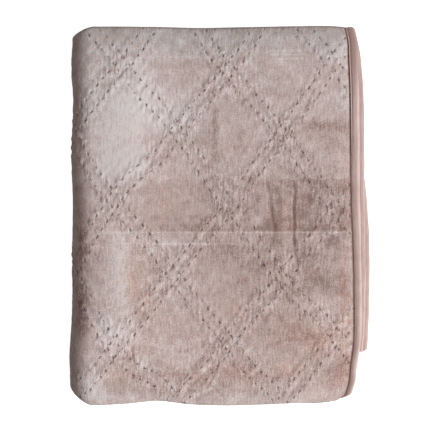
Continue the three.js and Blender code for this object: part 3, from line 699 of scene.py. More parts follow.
def pile_tone(x, y):
    """How light and how pink the pile of the top layer lies at each point, with painted shade on the big
    fold's left side and at the head edge.
    """
    lift = 0 * x
    pink = 0 * x
    for mark in MARKS:
        near = oval(x, y, mark)
        lift = lift + near * mark["lift"]
        pink = pink + near * mark["pink"]
    for band in BANDS:
        low, high = ((band[end] - BAND_EDGE, band[end] + BAND_EDGE) for end in ("low", "high"))
        left, right = ((band[end] - BAND_SIDE, band[end] + BAND_SIDE) for end in ("x", "to_x"))
        inside = plateau(y, low, high) * plateau(x, left, right)
        lift = lift + inside * band["lift"]
        pink = pink + inside * band["pink"]
    for line in PRESSED_LINES:
        distance, ends = along_line(x, y, line)
        lift = lift + line["lift"] * ends * np.exp(-((distance / line["wide"]) ** 2))
    return lift, pink


def crumpled_share(x, y):
    """How badly the cloth is crumpled at each point, round about 1."""
    share = CRUMPLED_RANGE["plain"] + 0 * x
    for mark in CRUMPLED:
        share = share + oval(x, y, mark) * mark["more"]
    return np.clip(share, CRUMPLED_RANGE["least"], CRUMPLED_RANGE["most"])


OVERROLL_CURVE = smooth_curve(OVERROLL, "y", "out")
OVERROLL_SPAN = dict(rise=(1.2, 1.8), fall=(3.0, 3.4))  # along the sheet


def overroll(along):
    """How far the velvet rolls out over the binding at a place along the sheet."""
    v = np.interp(along, LEGS, FLAT_ALONG)
    return OVERROLL_CURVE(v) * plateau(along, **OVERROLL_SPAN)


def rolled_out(across, along):
    """Where the velvet of the top pass comes to lie when its edge rolls out over the binding."""
    inside = np.where(across < 1, across, 0) * TOP_RUN
    out = overroll(along)
    pressed = inside * (DITCH - out) / DITCH
    eased = inside - out * (1 - smoothstep(inside, DITCH, OVERROLL_FADE))
    moved = np.where(inside < DITCH, pressed, eased)
    return np.where(across < 1, moved / TOP_RUN, across)


def half_thickness(across, along, tight_leg):
    """Half the thickness of the cloth, which is pressed at its bound edges and in its tight fold."""
    inside = np.minimum(from_side_edge(across), from_end_edge(along))
    half = lerp(PRESSED_HALF, SHEET / 2, np.clip((inside - PRESSED_WIDTH) / PRESSED_STEP, 0, 1))
    tight = (along >= tight_leg) & (along <= tight_leg + 1)
    return np.where(tight, np.minimum(half, TIGHT_FOLD_HALF), half)


def flat_attributes(across, along, crumpled):
    """The place of each point on the flat cloth in metres, and on the quilting's lattice."""
    u, v = flat_place(across, along)
    column, row = lattice_place(u, v)
    cloth = np.stack([u * MM, v * MM, 0 * u], axis=-1)
    return cloth, np.stack([column, row, crumpled + 0 * u], axis=-1)


def velvet_points(across, along):
    """The points of the velvet face, their places on the flat cloth, and the state of their pile, with
    painted shade in its lightness and in its third value.
    """
    across, along = np.broadcast_arrays(across, along)
    half = half_thickness(across, along, INNER_FOOT_FOLD)
    height, deep = relief(across, along)
    shown = relief_share(across, along)
    lying = rolled_out(across, along)
    x, y, z = np.moveaxis(place(lying, along, half), -1, 0)
    on_top = smoothstep(z, *TOP_PASS)
    crease = creases(x, y) * on_top * shown
    lift, pink = pile_tone(x, y)
    points = place(lying, along, half + shown * height - crease)
    cloth, lattice = flat_attributes(across, along, crumpled_share(x, y))
    # sunk: painted shade in the deeper creases, added to the painted shade of dents and ditch in the pile's
    # third value.
    sunk = np.clip(CREASE_SHADE["share"] * crease, 0, 1) ** CREASE_SHADE["power"]
    pile = np.stack([0.5 + lift * on_top, 0.5 + pink * on_top, np.clip(deep + sunk, 0, 1)], axis=-1)
    return points, cloth, lattice, pile


def back_points(across, along):
    """The same for the back of the quilt, which is plain."""
    across, along = np.broadcast_arrays(across, along)
    cloth, lattice = flat_attributes(across, along, 0)
    points = place(across, along, -half_thickness(across, along, HEAD_FOLD))
    return points, cloth, lattice, 0.5 + 0 * cloth


# Meshes.


class Mesh:
    """Points with their attributes and faces, gathered patch by patch."""

    def __init__(self):
        self.points = []
        self.attributes = []
        self.faces = []
        self.finishes = []
        self.count = 0

    def grid(self, made, finish=0, flipped=False, close=False):
        """Adds a grid of points with its faces, and gives the ids of its points."""
        shape = made[0].shape[:2]
        ids = self.count + np.arange(shape[0] * shape[1]).reshape(shape)
        self.count += ids.size
        self.points.append(made[0].reshape(-1, 3))
        self.attributes.append([values.reshape(-1, 3) for values in made[1:]])
        wrapped = np.concatenate([ids, ids[:, :1]], axis=1) if close else ids
        corners = [wrapped[:-1, :-1], wrapped[:-1, 1:], wrapped[1:, 1:], wrapped[1:, :-1]]
        quads = np.stack([c.ravel() for c in corners], axis=1)
        self.add(quads[:, ::-1] if flipped else quads, finish)
        return ids

    def tube(self, made):
        """Adds rings of points as a tube with closed ends."""
        rings = self.grid(made, close=True)
        self.add([rings[0], rings[-1][::-1]])

    def add(self, faces, finish=0):
        faces = [list(map(int, face)) for face in faces]
        self.faces.extend(faces)
        self.finishes.extend([finish] * len(faces))

    def zip(self, a, a_at, b, b_at, finish=0):
        """Joins two lines of points by triangles that run on along a and back along b."""
        i = 0
        j = 0
        made = []
        while i < len(a) - 1 or j < len(b) - 1:
            next_a = a_at[i + 1] if i < len(a) - 1 else np.inf
            next_b = b_at[j + 1] if j < len(b) - 1 else np.inf
            if next_a <= next_b:
                made.append((a[i], a[i + 1], b[j]))
                i += 1
            else:
                made.append((a[i], b[j + 1], b[j]))
                j += 1
        self.add(made, finish)

    def piece(self, name, attribute_names, finishes):
        """The mesh as an object in the part's frame, in metres, facing out and smooth."""
        points = np.concatenate(self.points) - np.array([*PILE_MIDDLE, 0.0])
        faces = self.faces
        if signed_volume(points, faces) < 0:
            faces = [face[::-1] for face in faces]
        mesh = bpy.data.meshes.new(name)
        mesh.from_pydata((points * MM).tolist(), [], faces)
        for k, attribute in enumerate(attribute_names):
            values = np.concatenate([patch[k] for patch in self.attributes])
            layer = mesh.attributes.new(attribute, "FLOAT_VECTOR", "POINT")
            layer.data.foreach_set("vector", values.astype(np.float32).ravel())
        for finish in finishes:
            mesh.materials.append(finish)
        mesh.polygons.foreach_set("material_index", self.finishes)
        mesh.shade_smooth()
        mesh.update()
        made = bpy.data.objects.new(name, mesh)
        bpy.context.scene.collection.objects.link(made)
        return made


def signed_volume(points, faces):
    """More than 0 if the faces look out."""
    total = 0.0
    for size in sorted(set(map(len, faces))):
        corners = points[np.array([face for face in faces if len(face) == size])]
        for k in range(1, size - 1):
            crossed = np.cross(corners[:, k], corners[:, k + 1])
            total += np.einsum("ij,ij->i", corners[:, 0], crossed).sum()
    return total


def spaced(start, end, length, step, skip_end=False):
    """Even places from start to end of a leg of that length, about a step apart."""
    count = max(1, round(length * abs(end - start) / step))
    return np.linspace(start, end, count + 1)[: count if skip_end else count + 1]


def coarse_run(leg, length, foot_at_end):
    """Places on a straight leg of the sheet's walk that are closer near the foot."""
    stretch = FOOT_STRETCH / length
    middle = leg + 1 - stretch if foot_at_end else leg + stretch
    steps = (COARSE, COARSE_AT_FOOT) if foot_at_end else (COARSE_AT_FOOT, COARSE)
    start = spaced(leg, middle, length, steps[0], skip_end=True)
    return np.concatenate([start, spaced(middle, leg + 1, length, steps[1], skip_end=True)])


def even_shares(count):
    return np.arange(count) / count


def free_end(length):
    """Shares of a leg at its bound end: the raw edge, and the two sides of the step in thickness."""
    return np.array([0.0, PRESSED_WIDTH, DITCH]) / length


def across_places(fine):
    """Sections across the passes. Fine ones follow the quilting of the top pass and the big fold."""
    start = free_end(TOP_RUN)
    near_ditch = start[2] + np.array(DITCH_STEPS) / TOP_RUN if fine else []
    first = near_ditch[-1] + FINE / TOP_RUN if fine else start[2] + AFTER_DITCH / TOP_RUN
    small = even_shares(TURN_STEPS["small"])
    return np.concatenate([
        start, near_ditch, spaced(first, 1, TOP_RUN, FINE if fine else COARSE, skip_end=True),
        1 + even_shares(BIG_TURN_STEPS if fine else BIG_TURN_STEPS // 4),
        spaced(2, 3, LONG_RUN, 2 * COARSE, skip_end=True), 3 + small,
        spaced(4, 5, LONG_RUN, 2 * COARSE, skip_end=True), 5 + small,
        spaced(6, 7 - BEFORE_LAST_DITCH / TOP_RUN, TOP_RUN, COARSE), 7 - start[::-1],
    ])


def along_places():
    """Places along the sheet: before, on and after the stretch that shows, and the back's places on it."""
    foot = even_shares(TURN_STEPS["foot"])
    head = np.arange(TURN_STEPS["head"] + 1) / TURN_STEPS["head"]
    start = free_end(FIRST_LENGTH)
    end = LAST + 1 - free_end(LAST_LENGTH)[::-1]
    before = coarse_run(0, FIRST_LENGTH, foot_at_end=True)
    before = np.concatenate([start, before[before > start[-1] + AFTER_DITCH / FIRST_LENGTH]])
    shown = np.concatenate([1 + foot, spaced(2, 3, TOP_LENGTH, FINE, skip_end=True), 3 + head])
    after = np.concatenate([
        coarse_run(4, TOP_LENGTH, foot_at_end=True)[1:], 5 + even_shares(TURN_STEPS["inner"]),
        coarse_run(6, LAST_LENGTH, foot_at_end=False),
    ])
    after = np.concatenate([after[after < end[0] - AFTER_DITCH / LAST_LENGTH], end])
    hidden = np.concatenate([1 + foot[::2], coarse_run(2, TOP_LENGTH, foot_at_end=False), 3 + head[::2]])
    return before, shown, after, hidden


def quilt_piece(finishes):
    """The quilt as one closed mesh: a fine velvet face where it shows, and a plain one elsewhere."""
    mesh = Mesh()
    fine = across_places(True)
    coarse = across_places(False)
    before, shown, after, hidden = along_places()
    rear = np.concatenate([before, hidden, after])
    face = lambda across, along: velvet_points(across[:, None], along[None, :])
    first = mesh.grid(face(coarse, before))
    top = mesh.grid(face(fine, shown))
    last = mesh.grid(face(coarse, after))
    back = mesh.grid(back_points(coarse[:, None], rear[None, :]), finish=1, flipped=True)
    mesh.zip(top[:, 0], fine, first[:, -1], coarse)
    mesh.zip(last[:, 0], coarse, top[:, -1], fine)
    mesh.zip(first[:, 0], coarse, back[:, 0], coarse)
    mesh.zip(back[:, -1], coarse, last[:, -1], coarse)
    velvet_at = np.concatenate([before, shown, after])
    near = np.concatenate([first[0], top[0], last[0]])
    far = np.concatenate([first[-1], top[-1], last[-1]])
    mesh.zip(back[0], rear, near, velvet_at)
    mesh.zip(far, velvet_at, back[-1], rear)
    return mesh.piece("velvet_quilt", ["cloth", "lattice", "pile"], finishes)


# The tape's outline on its velvet side: share of its width from the ditch to its folded edge, share of its
# crown, and what its sewn lip adds to that where the tape lies tight, near the head.
TAPE_CROWN = dict(top=3.1, elsewhere=1.68)
TAPE_OUTLINE = table(
    "at high lip",
    (0, 0.27, 0.20), (0.02, 0.34, 0.24), (0.06, 0.43, 0.22), (0.10, 0.50, 0.10), (0.14, 0.56, -0.10),
    (0.18, 0.61, -0.12), (0.24, 0.68, -0.04), (0.34, 0.78, 0), (0.46, 0.89, 0), (0.58, 0.975, 0),
    (0.66, 1, 0), (0.74, 0.97, 0), (0.82, 0.87, 0), (0.89, 0.72, 0), (0.95, 0.52, 0), (0.985, 0.30, 0),
    (1, 0, 0),
)
LIP_RISE = (2.62, 2.82)  # along the sheet
RAISED_SPAN = dict(rise=(1.55, 1.95), fall=(2.98, 3.3))  # the top edge's tape stands high between these
TAPE_UNEVEN = dict(crown=(0.03, 46.0), edge=(0.16, 60.0))  # how far, and how long its waves are
TAPE_WAVES = 10
COVERED_WIDTH = 2.4  # how much of a lower edge's tape the edge above keeps in the shade
COVERED_FADE = 1.0  # how far from its folded edge that shade is full
DITCH_SIDE_SHADE = dict(reach=4.2, covered=0.35)  # painted shade on the top tape beside its ditch, where its side turns from the light; a lower tape gets this share of its painted shade under the edge above
HEAD_SHADE = dict(low=130.0, high=240.0)  # the tape darkens between these, along Y
SEAM = dict(lip=-9.9, groove=-8.5, wide=0.75)  # where its lip, with a painted highlight, and its groove, with painted shade, lie past the raw edge


def tape_section(crown, lip, wave, out):
    """Distance past the raw edge and offset of the tape's section, for rings with their own crowns."""
    start = BINDING_PAST - BINDING_WIDTH
    inner = BINDING_HALF - BINDING_TAPE
    share = np.array([row["at"] for row in TAPE_OUTLINE])
    high = np.array([row["high"] for row in TAPE_OUTLINE])
    lips = np.array([row["lip"] for row in TAPE_OUTLINE])
    ring = np.ones((len(crown), 1))
    narrower = (BINDING_WIDTH - out[:, None]) / BINDING_WIDTH
    upper_past = BINDING_PAST - BINDING_WIDTH * narrower * (1 - share)
    lower_past = ring * (start + BINDING_WIDTH * share[-2::-1])
    inner_past = np.concatenate([ring * start, ring * FIT, ring * FIT, upper_past[:, :1]], axis=1)
    past = np.concatenate([upper_past, lower_past, inner_past], axis=1)
    past = past + wave[:, None] * (past > FIT)
    upper = (high + lips * lip[:, None]) * crown[:, None]
    lower = -ring * high[-2::-1] * TAPE_CROWN["elsewhere"]
    levels = ring * np.array([-inner, -inner, inner, inner])
    return past, np.concatenate([np.maximum(upper, inner * (share < 1)), lower, levels], axis=1)


def unevenness(length, far, wave, seed):
    """A slow unevenness along a tape."""
    return far * ripples(length, 0 * length, wave, 1.0, seed, TAPE_WAVES)


def tape_piece(name, finish, places, length_at, at, on_top):
    """Sweeps the tape along an edge: at(places, past, offset) gives its points."""
    mesh = Mesh()
    length = length_at(places)
    top = on_top(places)
    crown = lerp(TAPE_CROWN["elsewhere"], TAPE_CROWN["top"], top)
    crown = crown * (1 + unevenness(length, *TAPE_UNEVEN["crown"], seed=23))
    wave = unevenness(length, *TAPE_UNEVEN["edge"], seed=29)
    lip = smoothstep(places, *LIP_RISE) * top
    past, offset = tape_section(crown, lip, wave, overroll(places) * top)
    points = at(np.broadcast_to(places[:, None], past.shape), past, offset)
    cloth = np.stack([length[:, None] * MM + 0 * past, past * MM, offset * MM], axis=-1)
    uncovered = smoothstep(past, BINDING_PAST - COVERED_WIDTH, BINDING_PAST - COVERED_FADE)
    covered = (1 - top[:, None]) * (1 - uncovered)
    inside = past - past[:, :1]
    ditch_side_shade = lerp(DITCH_SIDE_SHADE["covered"] * covered, np.exp(-((inside / DITCH_SIDE_SHADE["reach"]) ** 2)), top[:, None])
    shaded = top[:, None] * smoothstep(points[..., 1], HEAD_SHADE["low"], HEAD_SHADE["high"])
    seam = [np.exp(-(((past - SEAM[part]) / SEAM["wide"]) ** 2)) for part in ("groove", "lip")]
    # state: painted shade by the ditch and under the edge above, painted shade towards the head, and the
    # seam's painted groove shade less its painted lip highlight.
    state = np.stack([ditch_side_shade, shaded, lip[:, None] * (seam[0] - seam[1])], axis=-1)
    mesh.tube((points, cloth, state))
    return mesh.piece(name, ["cloth", "state"], [finish])


def tape_places(lengths, turn_step):
    """Even places along a whole walk, from the lengths of its legs: straight ones and turns by turns."""
    steps = [TAPE_STEP, turn_step]
    return np.concatenate([
        spaced(leg, leg + 1, length, steps[leg % 2], skip_end=True) for leg, length in enumerate(lengths)
    ])


def side_tape(name, finish, top):
    """The binding of a side edge: of the top pass's, or of the second pass's."""
    over = BINDING_PAST / FIRST_LENGTH
    places = tape_places(np.diff(FLAT_ALONG), TAPE_TURN_STEP)
    places = np.concatenate([[-over], places, [LAST + 1 + over]])
    sign = -1 if top else 1
    edge = 0 if top else LAST + 1
    at = lambda along, past, offset: place(edge + sign * past / TOP_RUN, along, offset)
    raised = lambda along: plateau(along, **RAISED_SPAN) * top
    return tape_piece(name, finish, places, lambda along: np.interp(along, LEGS, FLAT_ALONG), at, raised)


def end_tape(name, finish, start):
    """The binding of a short end, inside the pile at its head."""
    length = FIRST_LENGTH if start else LAST_LENGTH
    clear = PRESSED_WIDTH / TOP_RUN
    places = tape_places(-np.diff(FLAT_ACROSS), TAPE_STEP)
    inner = places[(places > clear) & (places < LAST + 1 - clear)]
    places = np.concatenate([[clear], inner, [LAST + 1 - clear]])
    sign = -1 if start else 1
    edge = 0 if start else LAST + 1
    length_at = lambda across: np.interp(across, LEGS, -FLAT_ACROSS)
    at = lambda across, past, offset: place(across, edge + sign * past / length, offset)
    return tape_piece(name, finish, places, length_at, at, lambda across: 0 * across)


# The quilting thread: one short stitch in each dent.
THREAD = dict(radius=0.34, sides=6, steps=7, sunk=0.15, ends=0.5, least=0.7, more=0.5)
THREAD_FROM_DITCH = 2.0
THREAD_LAST = 1.85  # across the sheet, on the big fold
THREAD_FROM_FOOT = 7.0
THREAD_FROM_HEAD = 4.0


def stitch_places():
    """All stitches: the lean, row and number of each, and the column and row of its middle."""
    found = []
    for lean in (1, -1):
        for pair in range(-PAIRS_EACH_WAY, PAIRS_EACH_WAY + 1):
            for side in (-1, 1):
                line = 2 * pair + (side > 0)
                at = 2 * CELLS * pair + side
                for stitch in range(-STITCHES_EACH_WAY, STITCHES_EACH_WAY):
                    length = (stitch - ROW_PHASE * line) * STITCH_PITCH / CELL_DIAGONAL * 2
                    found.append((lean, line, stitch, (at + length) / 2, lean * (at - length) / 2))
    return np.array(found)


def from_lattice(column, row):
    """The point of the flat cloth at a place of the lattice."""
    plain_u = column * CELL_X + LATTICE_X
    plain_v = row * CELL_Y + LATTICE_Y
    u = plain_u
    v = plain_v
    for _ in range(6):
        right, up = crossing_shift(u, v)
        u = plain_u + right
        v = plain_v + up
    return u, v


def stitches_piece(finish):
    """Every stitch of the top layer and its folds, as one mesh of short rounded threads."""
    lean, line, stitch, column, row = stitch_places().T
    u, v = from_lattice(column, row)
    shown = (u < RAW_EDGE_X - DITCH - THREAD_FROM_DITCH) & (u > np.interp(THREAD_LAST, LEGS, FLAT_ACROSS))
    shown = shown & (v > FLAT_ALONG[1] + THREAD_FROM_FOOT) & (v < FLAT_ALONG[4] - THREAD_FROM_HEAD)
    lean, line, stitch, column, row = (a[shown] for a in (lean, line, stitch, column, row))
    size = THREAD["least"] + THREAD["more"] * chance(line, stitch, lean, 0)
    half = STITCH_LENGTH / CELL_DIAGONAL / 2 * size
    share = np.linspace(-1, 1, THREAD["steps"])
    ahead = WANDER["along"] * (chance(line, stitch, lean, 2) - 0.5) / CELL_DIAGONAL
    outward = np.where(line % 2 == 1, 1.0, -1.0)
    aside = outward * WANDER["aside"] * (2 * chance(line, stitch, lean, 1) - 1) / ROW_STEP / 2
    columns = (column + ahead + aside)[:, None] + half[:, None] * share
    rows = (row + lean * (aside - ahead))[:, None] - (lean * half)[:, None] * share
    u, v = from_lattice(columns, rows)
    across, along = folded_place(u, v)
    height, _ = relief(across, along)
    x, y, z = np.moveaxis(place(across, along, SHEET / 2), -1, 0)
    raised = relief_share(across, along)
    height = raised * height - raised * smoothstep(z, *TOP_PASS) * creases(x, y)
    bowed = SHEET / 2 + height + THREAD["sunk"] - THREAD["ends"] * share**4
    centre = place(across, along, bowed)
    above = place(across, along, bowed + 1.0) - centre
    ahead = np.gradient(centre, axis=1)
    ahead /= np.linalg.norm(ahead, axis=-1, keepdims=True)
    beside = np.cross(ahead, above)
    beside /= np.linalg.norm(beside, axis=-1, keepdims=True)
    above = np.cross(beside, ahead)
    radius = THREAD["radius"] * np.sqrt(np.clip(1 - share**6, 0.04, 1))
    mesh = Mesh()
    angles = np.arange(THREAD["sides"]) * 2 * np.pi / THREAD["sides"]
    turned = np.cos(angles)[:, None] * beside[:, :, None] + np.sin(angles)[:, None] * above[:, :, None]
    points = centre[:, :, None] + radius[None, :, None, None] * turned
    for k in range(len(points)):
        lengthwise = np.broadcast_to((share * STITCH_LENGTH / 2)[:, None], points[k].shape[:2])
        round_it = np.broadcast_to((angles * THREAD["radius"])[None, :], points[k].shape[:2])
        cloth = np.stack([lengthwise * MM, round_it * MM, 0 * round_it + k * 0.01], axis=-1)
        mesh.tube((points[k], cloth))
    return mesh.piece("quilting_stitches", ["cloth"], [finish])


# Materials.


class Nodes:
    """A tree of shader nodes as it is drawn."""

    def __init__(self, tree):
        self.tree = tree

    def add(self, kind, feeds=None, **settings):
        """A node with its settings, and its sockets fed by name with a value or another node's output."""
        node = self.tree.nodes.new(kind)
        for name, value in settings.items():
            setattr(node, name, value)
        for name, value in (feeds or {}).items():
            self.feed(node.inputs[name], value)
        return node

    def feed(self, socket, value):
        if isinstance(value, bpy.types.NodeSocket):
            self.tree.links.new(value, socket)
        else:
            socket.default_value = value

    def math(self, operation, *values, clamp=False):
        feeds = dict(enumerate(values))
        return self.add("ShaderNodeMath", feeds, operation=operation, use_clamp=clamp).outputs[0]

    def times(self, a, b, clamp=False):
        return self.math("MULTIPLY", a, b, clamp=clamp)

    def plus(self, a, b):
        return self.math("ADD", a, b)

    def minus(self, a, b):
        return self.math("SUBTRACT", a, b)

    def scaled(self, value, scale, onto):
        """value times scale, added to onto."""
        return self.math("MULTIPLY_ADD", value, scale, onto)

    def swing(self, noise, weight, onto):
        """A noise's swing about its middle, weighed and added to onto."""
        return self.scaled(self.minus(noise, 0.5), weight, onto)

    def parts(self, vector):
        return self.add("ShaderNodeSeparateXYZ", {0: vector}).outputs

    def range(self, value, low, high, to_low=0.0, to_high=1.0):
        feeds = {"Value": value, "From Min": low, "From Max": high, "To Min": to_low, "To Max": to_high}
        return self.add("ShaderNodeMapRange", feeds, interpolation_type="SMOOTHSTEP").outputs["Result"]

    def mix(self, share, a, b, blend="MIX"):
        feeds = {0: share, 6: a, 7: b}
        return self.add("ShaderNodeMix", feeds, data_type="RGBA", blend_type=blend).outputs[2]

    def noise(self, vector, scale, detail=2.0, roughness=0.5, distortion=0.0):
        feeds = dict(Vector=vector, Scale=scale, Detail=detail, Roughness=roughness, Distortion=distortion)
        return self.add("ShaderNodeTexNoise", feeds).outputs[0]

    def stretched(self, vector, scale):
        return self.add("ShaderNodeMapping", dict(Vector=vector, Scale=scale)).outputs[0]

    def attribute(self, name):
        return self.add("ShaderNodeAttribute", attribute_name=name).outputs["Vector"]

    def bump(self, height, distance, strength=1.0):
        feeds = dict(Height=height, Distance=distance, Strength=strength)
        return self.add("ShaderNodeBump", feeds).outputs["Normal"]

    def group(self, tree, **feeds):
        return self.add("ShaderNodeGroup", feeds, node_tree=tree).outputs


def new_group(name, inputs, outputs):
    """An empty node group with named inputs, each with its value, and named outputs."""
    tree = bpy.data.node_groups.new(name, "ShaderNodeTree")
    for socket, kind, value in inputs:
        made = tree.interface.new_socket(socket, in_out="INPUT", socket_type=kind)
        if value is not None:
            made.default_value = value
    for socket, kind in outputs:
        tree.interface.new_socket(socket, in_out="OUTPUT", socket_type=kind)
    nodes = Nodes(tree)
    return nodes, nodes.add("NodeGroupInput").outputs, nodes.add("NodeGroupOutput").inputs


VECTOR = "NodeSocketVector"
FLOAT = "NodeSocketFloat"


def woven_threads_group():
    """A plain weave of warp and weft threads: its height, and a mask of the gaps between threads."""
    inputs = [("Cloth", VECTOR, None), ("Threads", FLOAT, 1400.0), ("Unevenness", FLOAT, 0.3)]
    nodes, given, made = new_group("woven threads", inputs, [("Height", FLOAT), ("Gaps", FLOAT)])
    wander = nodes.noise(given["Cloth"], 260.0, 2.0)
    pushed = nodes.times(nodes.minus(wander, 0.5), given["Unevenness"])
    split = nodes.parts(given["Cloth"])
    warp = nodes.math("SINE", nodes.plus(nodes.times(split[0], given["Threads"]), pushed))
    weft = nodes.math("SINE", nodes.plus(nodes.times(split[1], given["Threads"]), pushed))
    over = nodes.times(warp, weft)
    nodes.feed(made["Height"], nodes.math("ABSOLUTE", over))
    nodes.feed(made["Gaps"], nodes.range(nodes.math("ABSOLUTE", over), 0.0, 0.35, 1.0, 0.0))
    return nodes.tree


def uneven_dye_group():
    """Soft blotches where cloth has taken the dye unevenly or is a little worn."""
    inputs = [("Cloth", VECTOR, None), ("Size", FLOAT, 30.0)]
    nodes, given, made = new_group("uneven dye", inputs, [("Blotches", FLOAT), ("Flecks", FLOAT)])
    nodes.feed(made["Blotches"], nodes.noise(given["Cloth"], given["Size"], 4.0, 0.55))
    fine = nodes.times(given["Size"], 14.0)
    nodes.feed(made["Flecks"], nodes.noise(given["Cloth"], fine, 2.0, 0.6))
    return nodes.tree


PILE_NOISES = table(
    "name waves_across waves_along detail roughness distortion",
    ("Streaks", 420.0, 75.0, 3.0, 0.6, 0.0), ("Patches", 58.0, 72.0, 3.0, 0.6, 0.5),
    ("Grain", 900.0, 500.0, 3.0, 0.75, 0.0), ("Scuffs", 190.0, 230.0, 3.0, 0.6, 1.2),
    ("Crumples", 330.0, 180.0, 2.0, 0.55, 0.8),
)
SCUFFS_RISE = (0.52, 0.76)


def crushed_pile_group():
    """Velvet pile pushed one way and another: streaks up the cloth, crumpled patches and fine grain."""
    outputs = [(layer["name"], FLOAT) for layer in PILE_NOISES]
    nodes, given, made = new_group("crushed pile", [("Cloth", VECTOR, None)], outputs)
    for layer in PILE_NOISES:
        cloth = nodes.stretched(given["Cloth"], (layer["waves_across"], layer["waves_along"], 1.0))
        value = nodes.noise(cloth, 1.0, layer["detail"], layer["roughness"], layer["distortion"])
        if layer["name"] == "Scuffs":
            value = nodes.range(value, *SCUFFS_RISE)
        nodes.feed(made[layer["name"]], value)
    return nodes.tree


def running_stitches_group():
    """A spot at each stitch of the crossing rows, for its dent's bump and its painted shade, and how near
    the rows a point lies.
    """
    inputs = [("Lattice", VECTOR, None), ("Wide", FLOAT, 1.0), ("Long", FLOAT, 2.2), ("Reach", FLOAT, 9.0)]
    nodes, given, made = new_group("running stitches", inputs, [("Dents_and_shade", FLOAT), ("Rows", FLOAT)])
    split = nodes.parts(given["Lattice"])
    column = split[0]
    row = split[1]
    dent_shades = []
    lines = []
    for lean in (1.0, -1.0):
        leaning = nodes.times(row, lean)
        at = nodes.plus(column, leaning)
        pair = nodes.math("ROUND", nodes.math("DIVIDE", at, 2.0 * CELLS))
        cells = nodes.minus(at, nodes.times(pair, 2.0 * CELLS))
        beside = nodes.minus(nodes.math("ABSOLUTE", cells), 1.0)
        distance = nodes.times(beside, ROW_STEP)
        beyond = nodes.math("GREATER_THAN", cells, 0.0)
        line = nodes.plus(nodes.times(pair, 2.0), beyond)
        onward = nodes.minus(column, leaning)
        length = nodes.times(onward, CELL_DIAGONAL / 2 / STITCH_PITCH)
        stitches = nodes.plus(length, nodes.times(line, ROW_PHASE))
        stitch = nodes.math("ROUND", stitches)
        aside = nodes.times(nodes.minus(stitches, stitch), STITCH_PITCH)
        seed = nodes.scaled(line, LUCK["line"], nodes.times(stitch, LUCK["stitch"]))
        chances = []
        for which in range(3):
            wave = nodes.math("SINE", nodes.plus(seed, lean * LUCK["lean"] + which * LUCK["which"]))
            chances.append(nodes.math("FRACT", nodes.math("ABSOLUTE", nodes.times(wave, LUCK["spread"]))))
        luck, sideways, onward = chances
        wander = nodes.scaled(sideways, 2 * WANDER["aside"], -WANDER["aside"])
        distance = nodes.minus(distance, wander)
        wander = nodes.scaled(onward, WANDER["along"], -WANDER["along"] / 2)
        aside = nodes.minus(aside, wander)
        wide = nodes.math("DIVIDE", distance, given["Wide"])
        long = nodes.math("DIVIDE", aside, given["Long"])
        square = nodes.plus(nodes.times(wide, wide), nodes.times(long, long))
        spot = nodes.range(square, 0.0, 1.6, 1.0, 0.0)
        dent_shades.append(nodes.times(spot, nodes.range(luck, 0.0, 1.0, 0.35, 1.0)))
        lines.append(nodes.range(nodes.math("ABSOLUTE", distance), 0.0, given["Reach"], 1.0, 0.0))
    nodes.feed(made["Dents_and_shade"], nodes.math("MAXIMUM", *dent_shades))
    nodes.feed(made["Rows"], nodes.math("MAXIMUM", *lines))
    return nodes.tree


def new_material(name):
    """A material with nothing but its shader, and the tools to draw the rest."""
    material = bpy.data.materials.new(name)
    material.use_nodes = True
    nodes = Nodes(material.node_tree)
    return material, nodes, material.node_tree.nodes["Principled BSDF"].inputs


def set_finish(shader, roughness, specular, sheen=0.0, sheen_roughness=0.5):
    shader["Roughness"].default_value = roughness
    shader["Specular IOR Level"].default_value = specular
    shader["Sheen Weight"].default_value = sheen
    shader["Sheen Roughness"].default_value = sheen_roughness
    shader["Sheen Tint"].default_value = SHEEN_TINT


# How much each effect moves the velvet's tone, its blush and its bump. A pair of shares is one that grows
# near the rows or where the cloth is crumpled, and one that is there everywhere.
TONE = dict(Streaks=1.1, Patches=1.0, Grain=2.0, Blotches=0.4)
TONE_CRUMPLED = (0.6, 0.35)
SCUFFS_NEAR_ROWS = (0.2, 0.1)
BLUSH = dict(Flecks=1.2, Grain=-0.9, Blotches=0.7)
PINK_FROM = (0.5, 1.25, 0.0, 0.9)
COOL_FROM = (0.5, -0.4)
DENT_SHADE_CRUMPLED = (0.32, 0.28)
# how strongly the painted shade of the ditch, dents and creases shows
PAINTED_SHADE_STRENGTH = 0.85
CRUMPLES_NEAR_ROWS = (1.6, 0.15)
ROUGH = dict(Grain=0.4, Streaks=0.35, Dents_and_shade=-1.4)
VELVET_BUMP = 0.0011


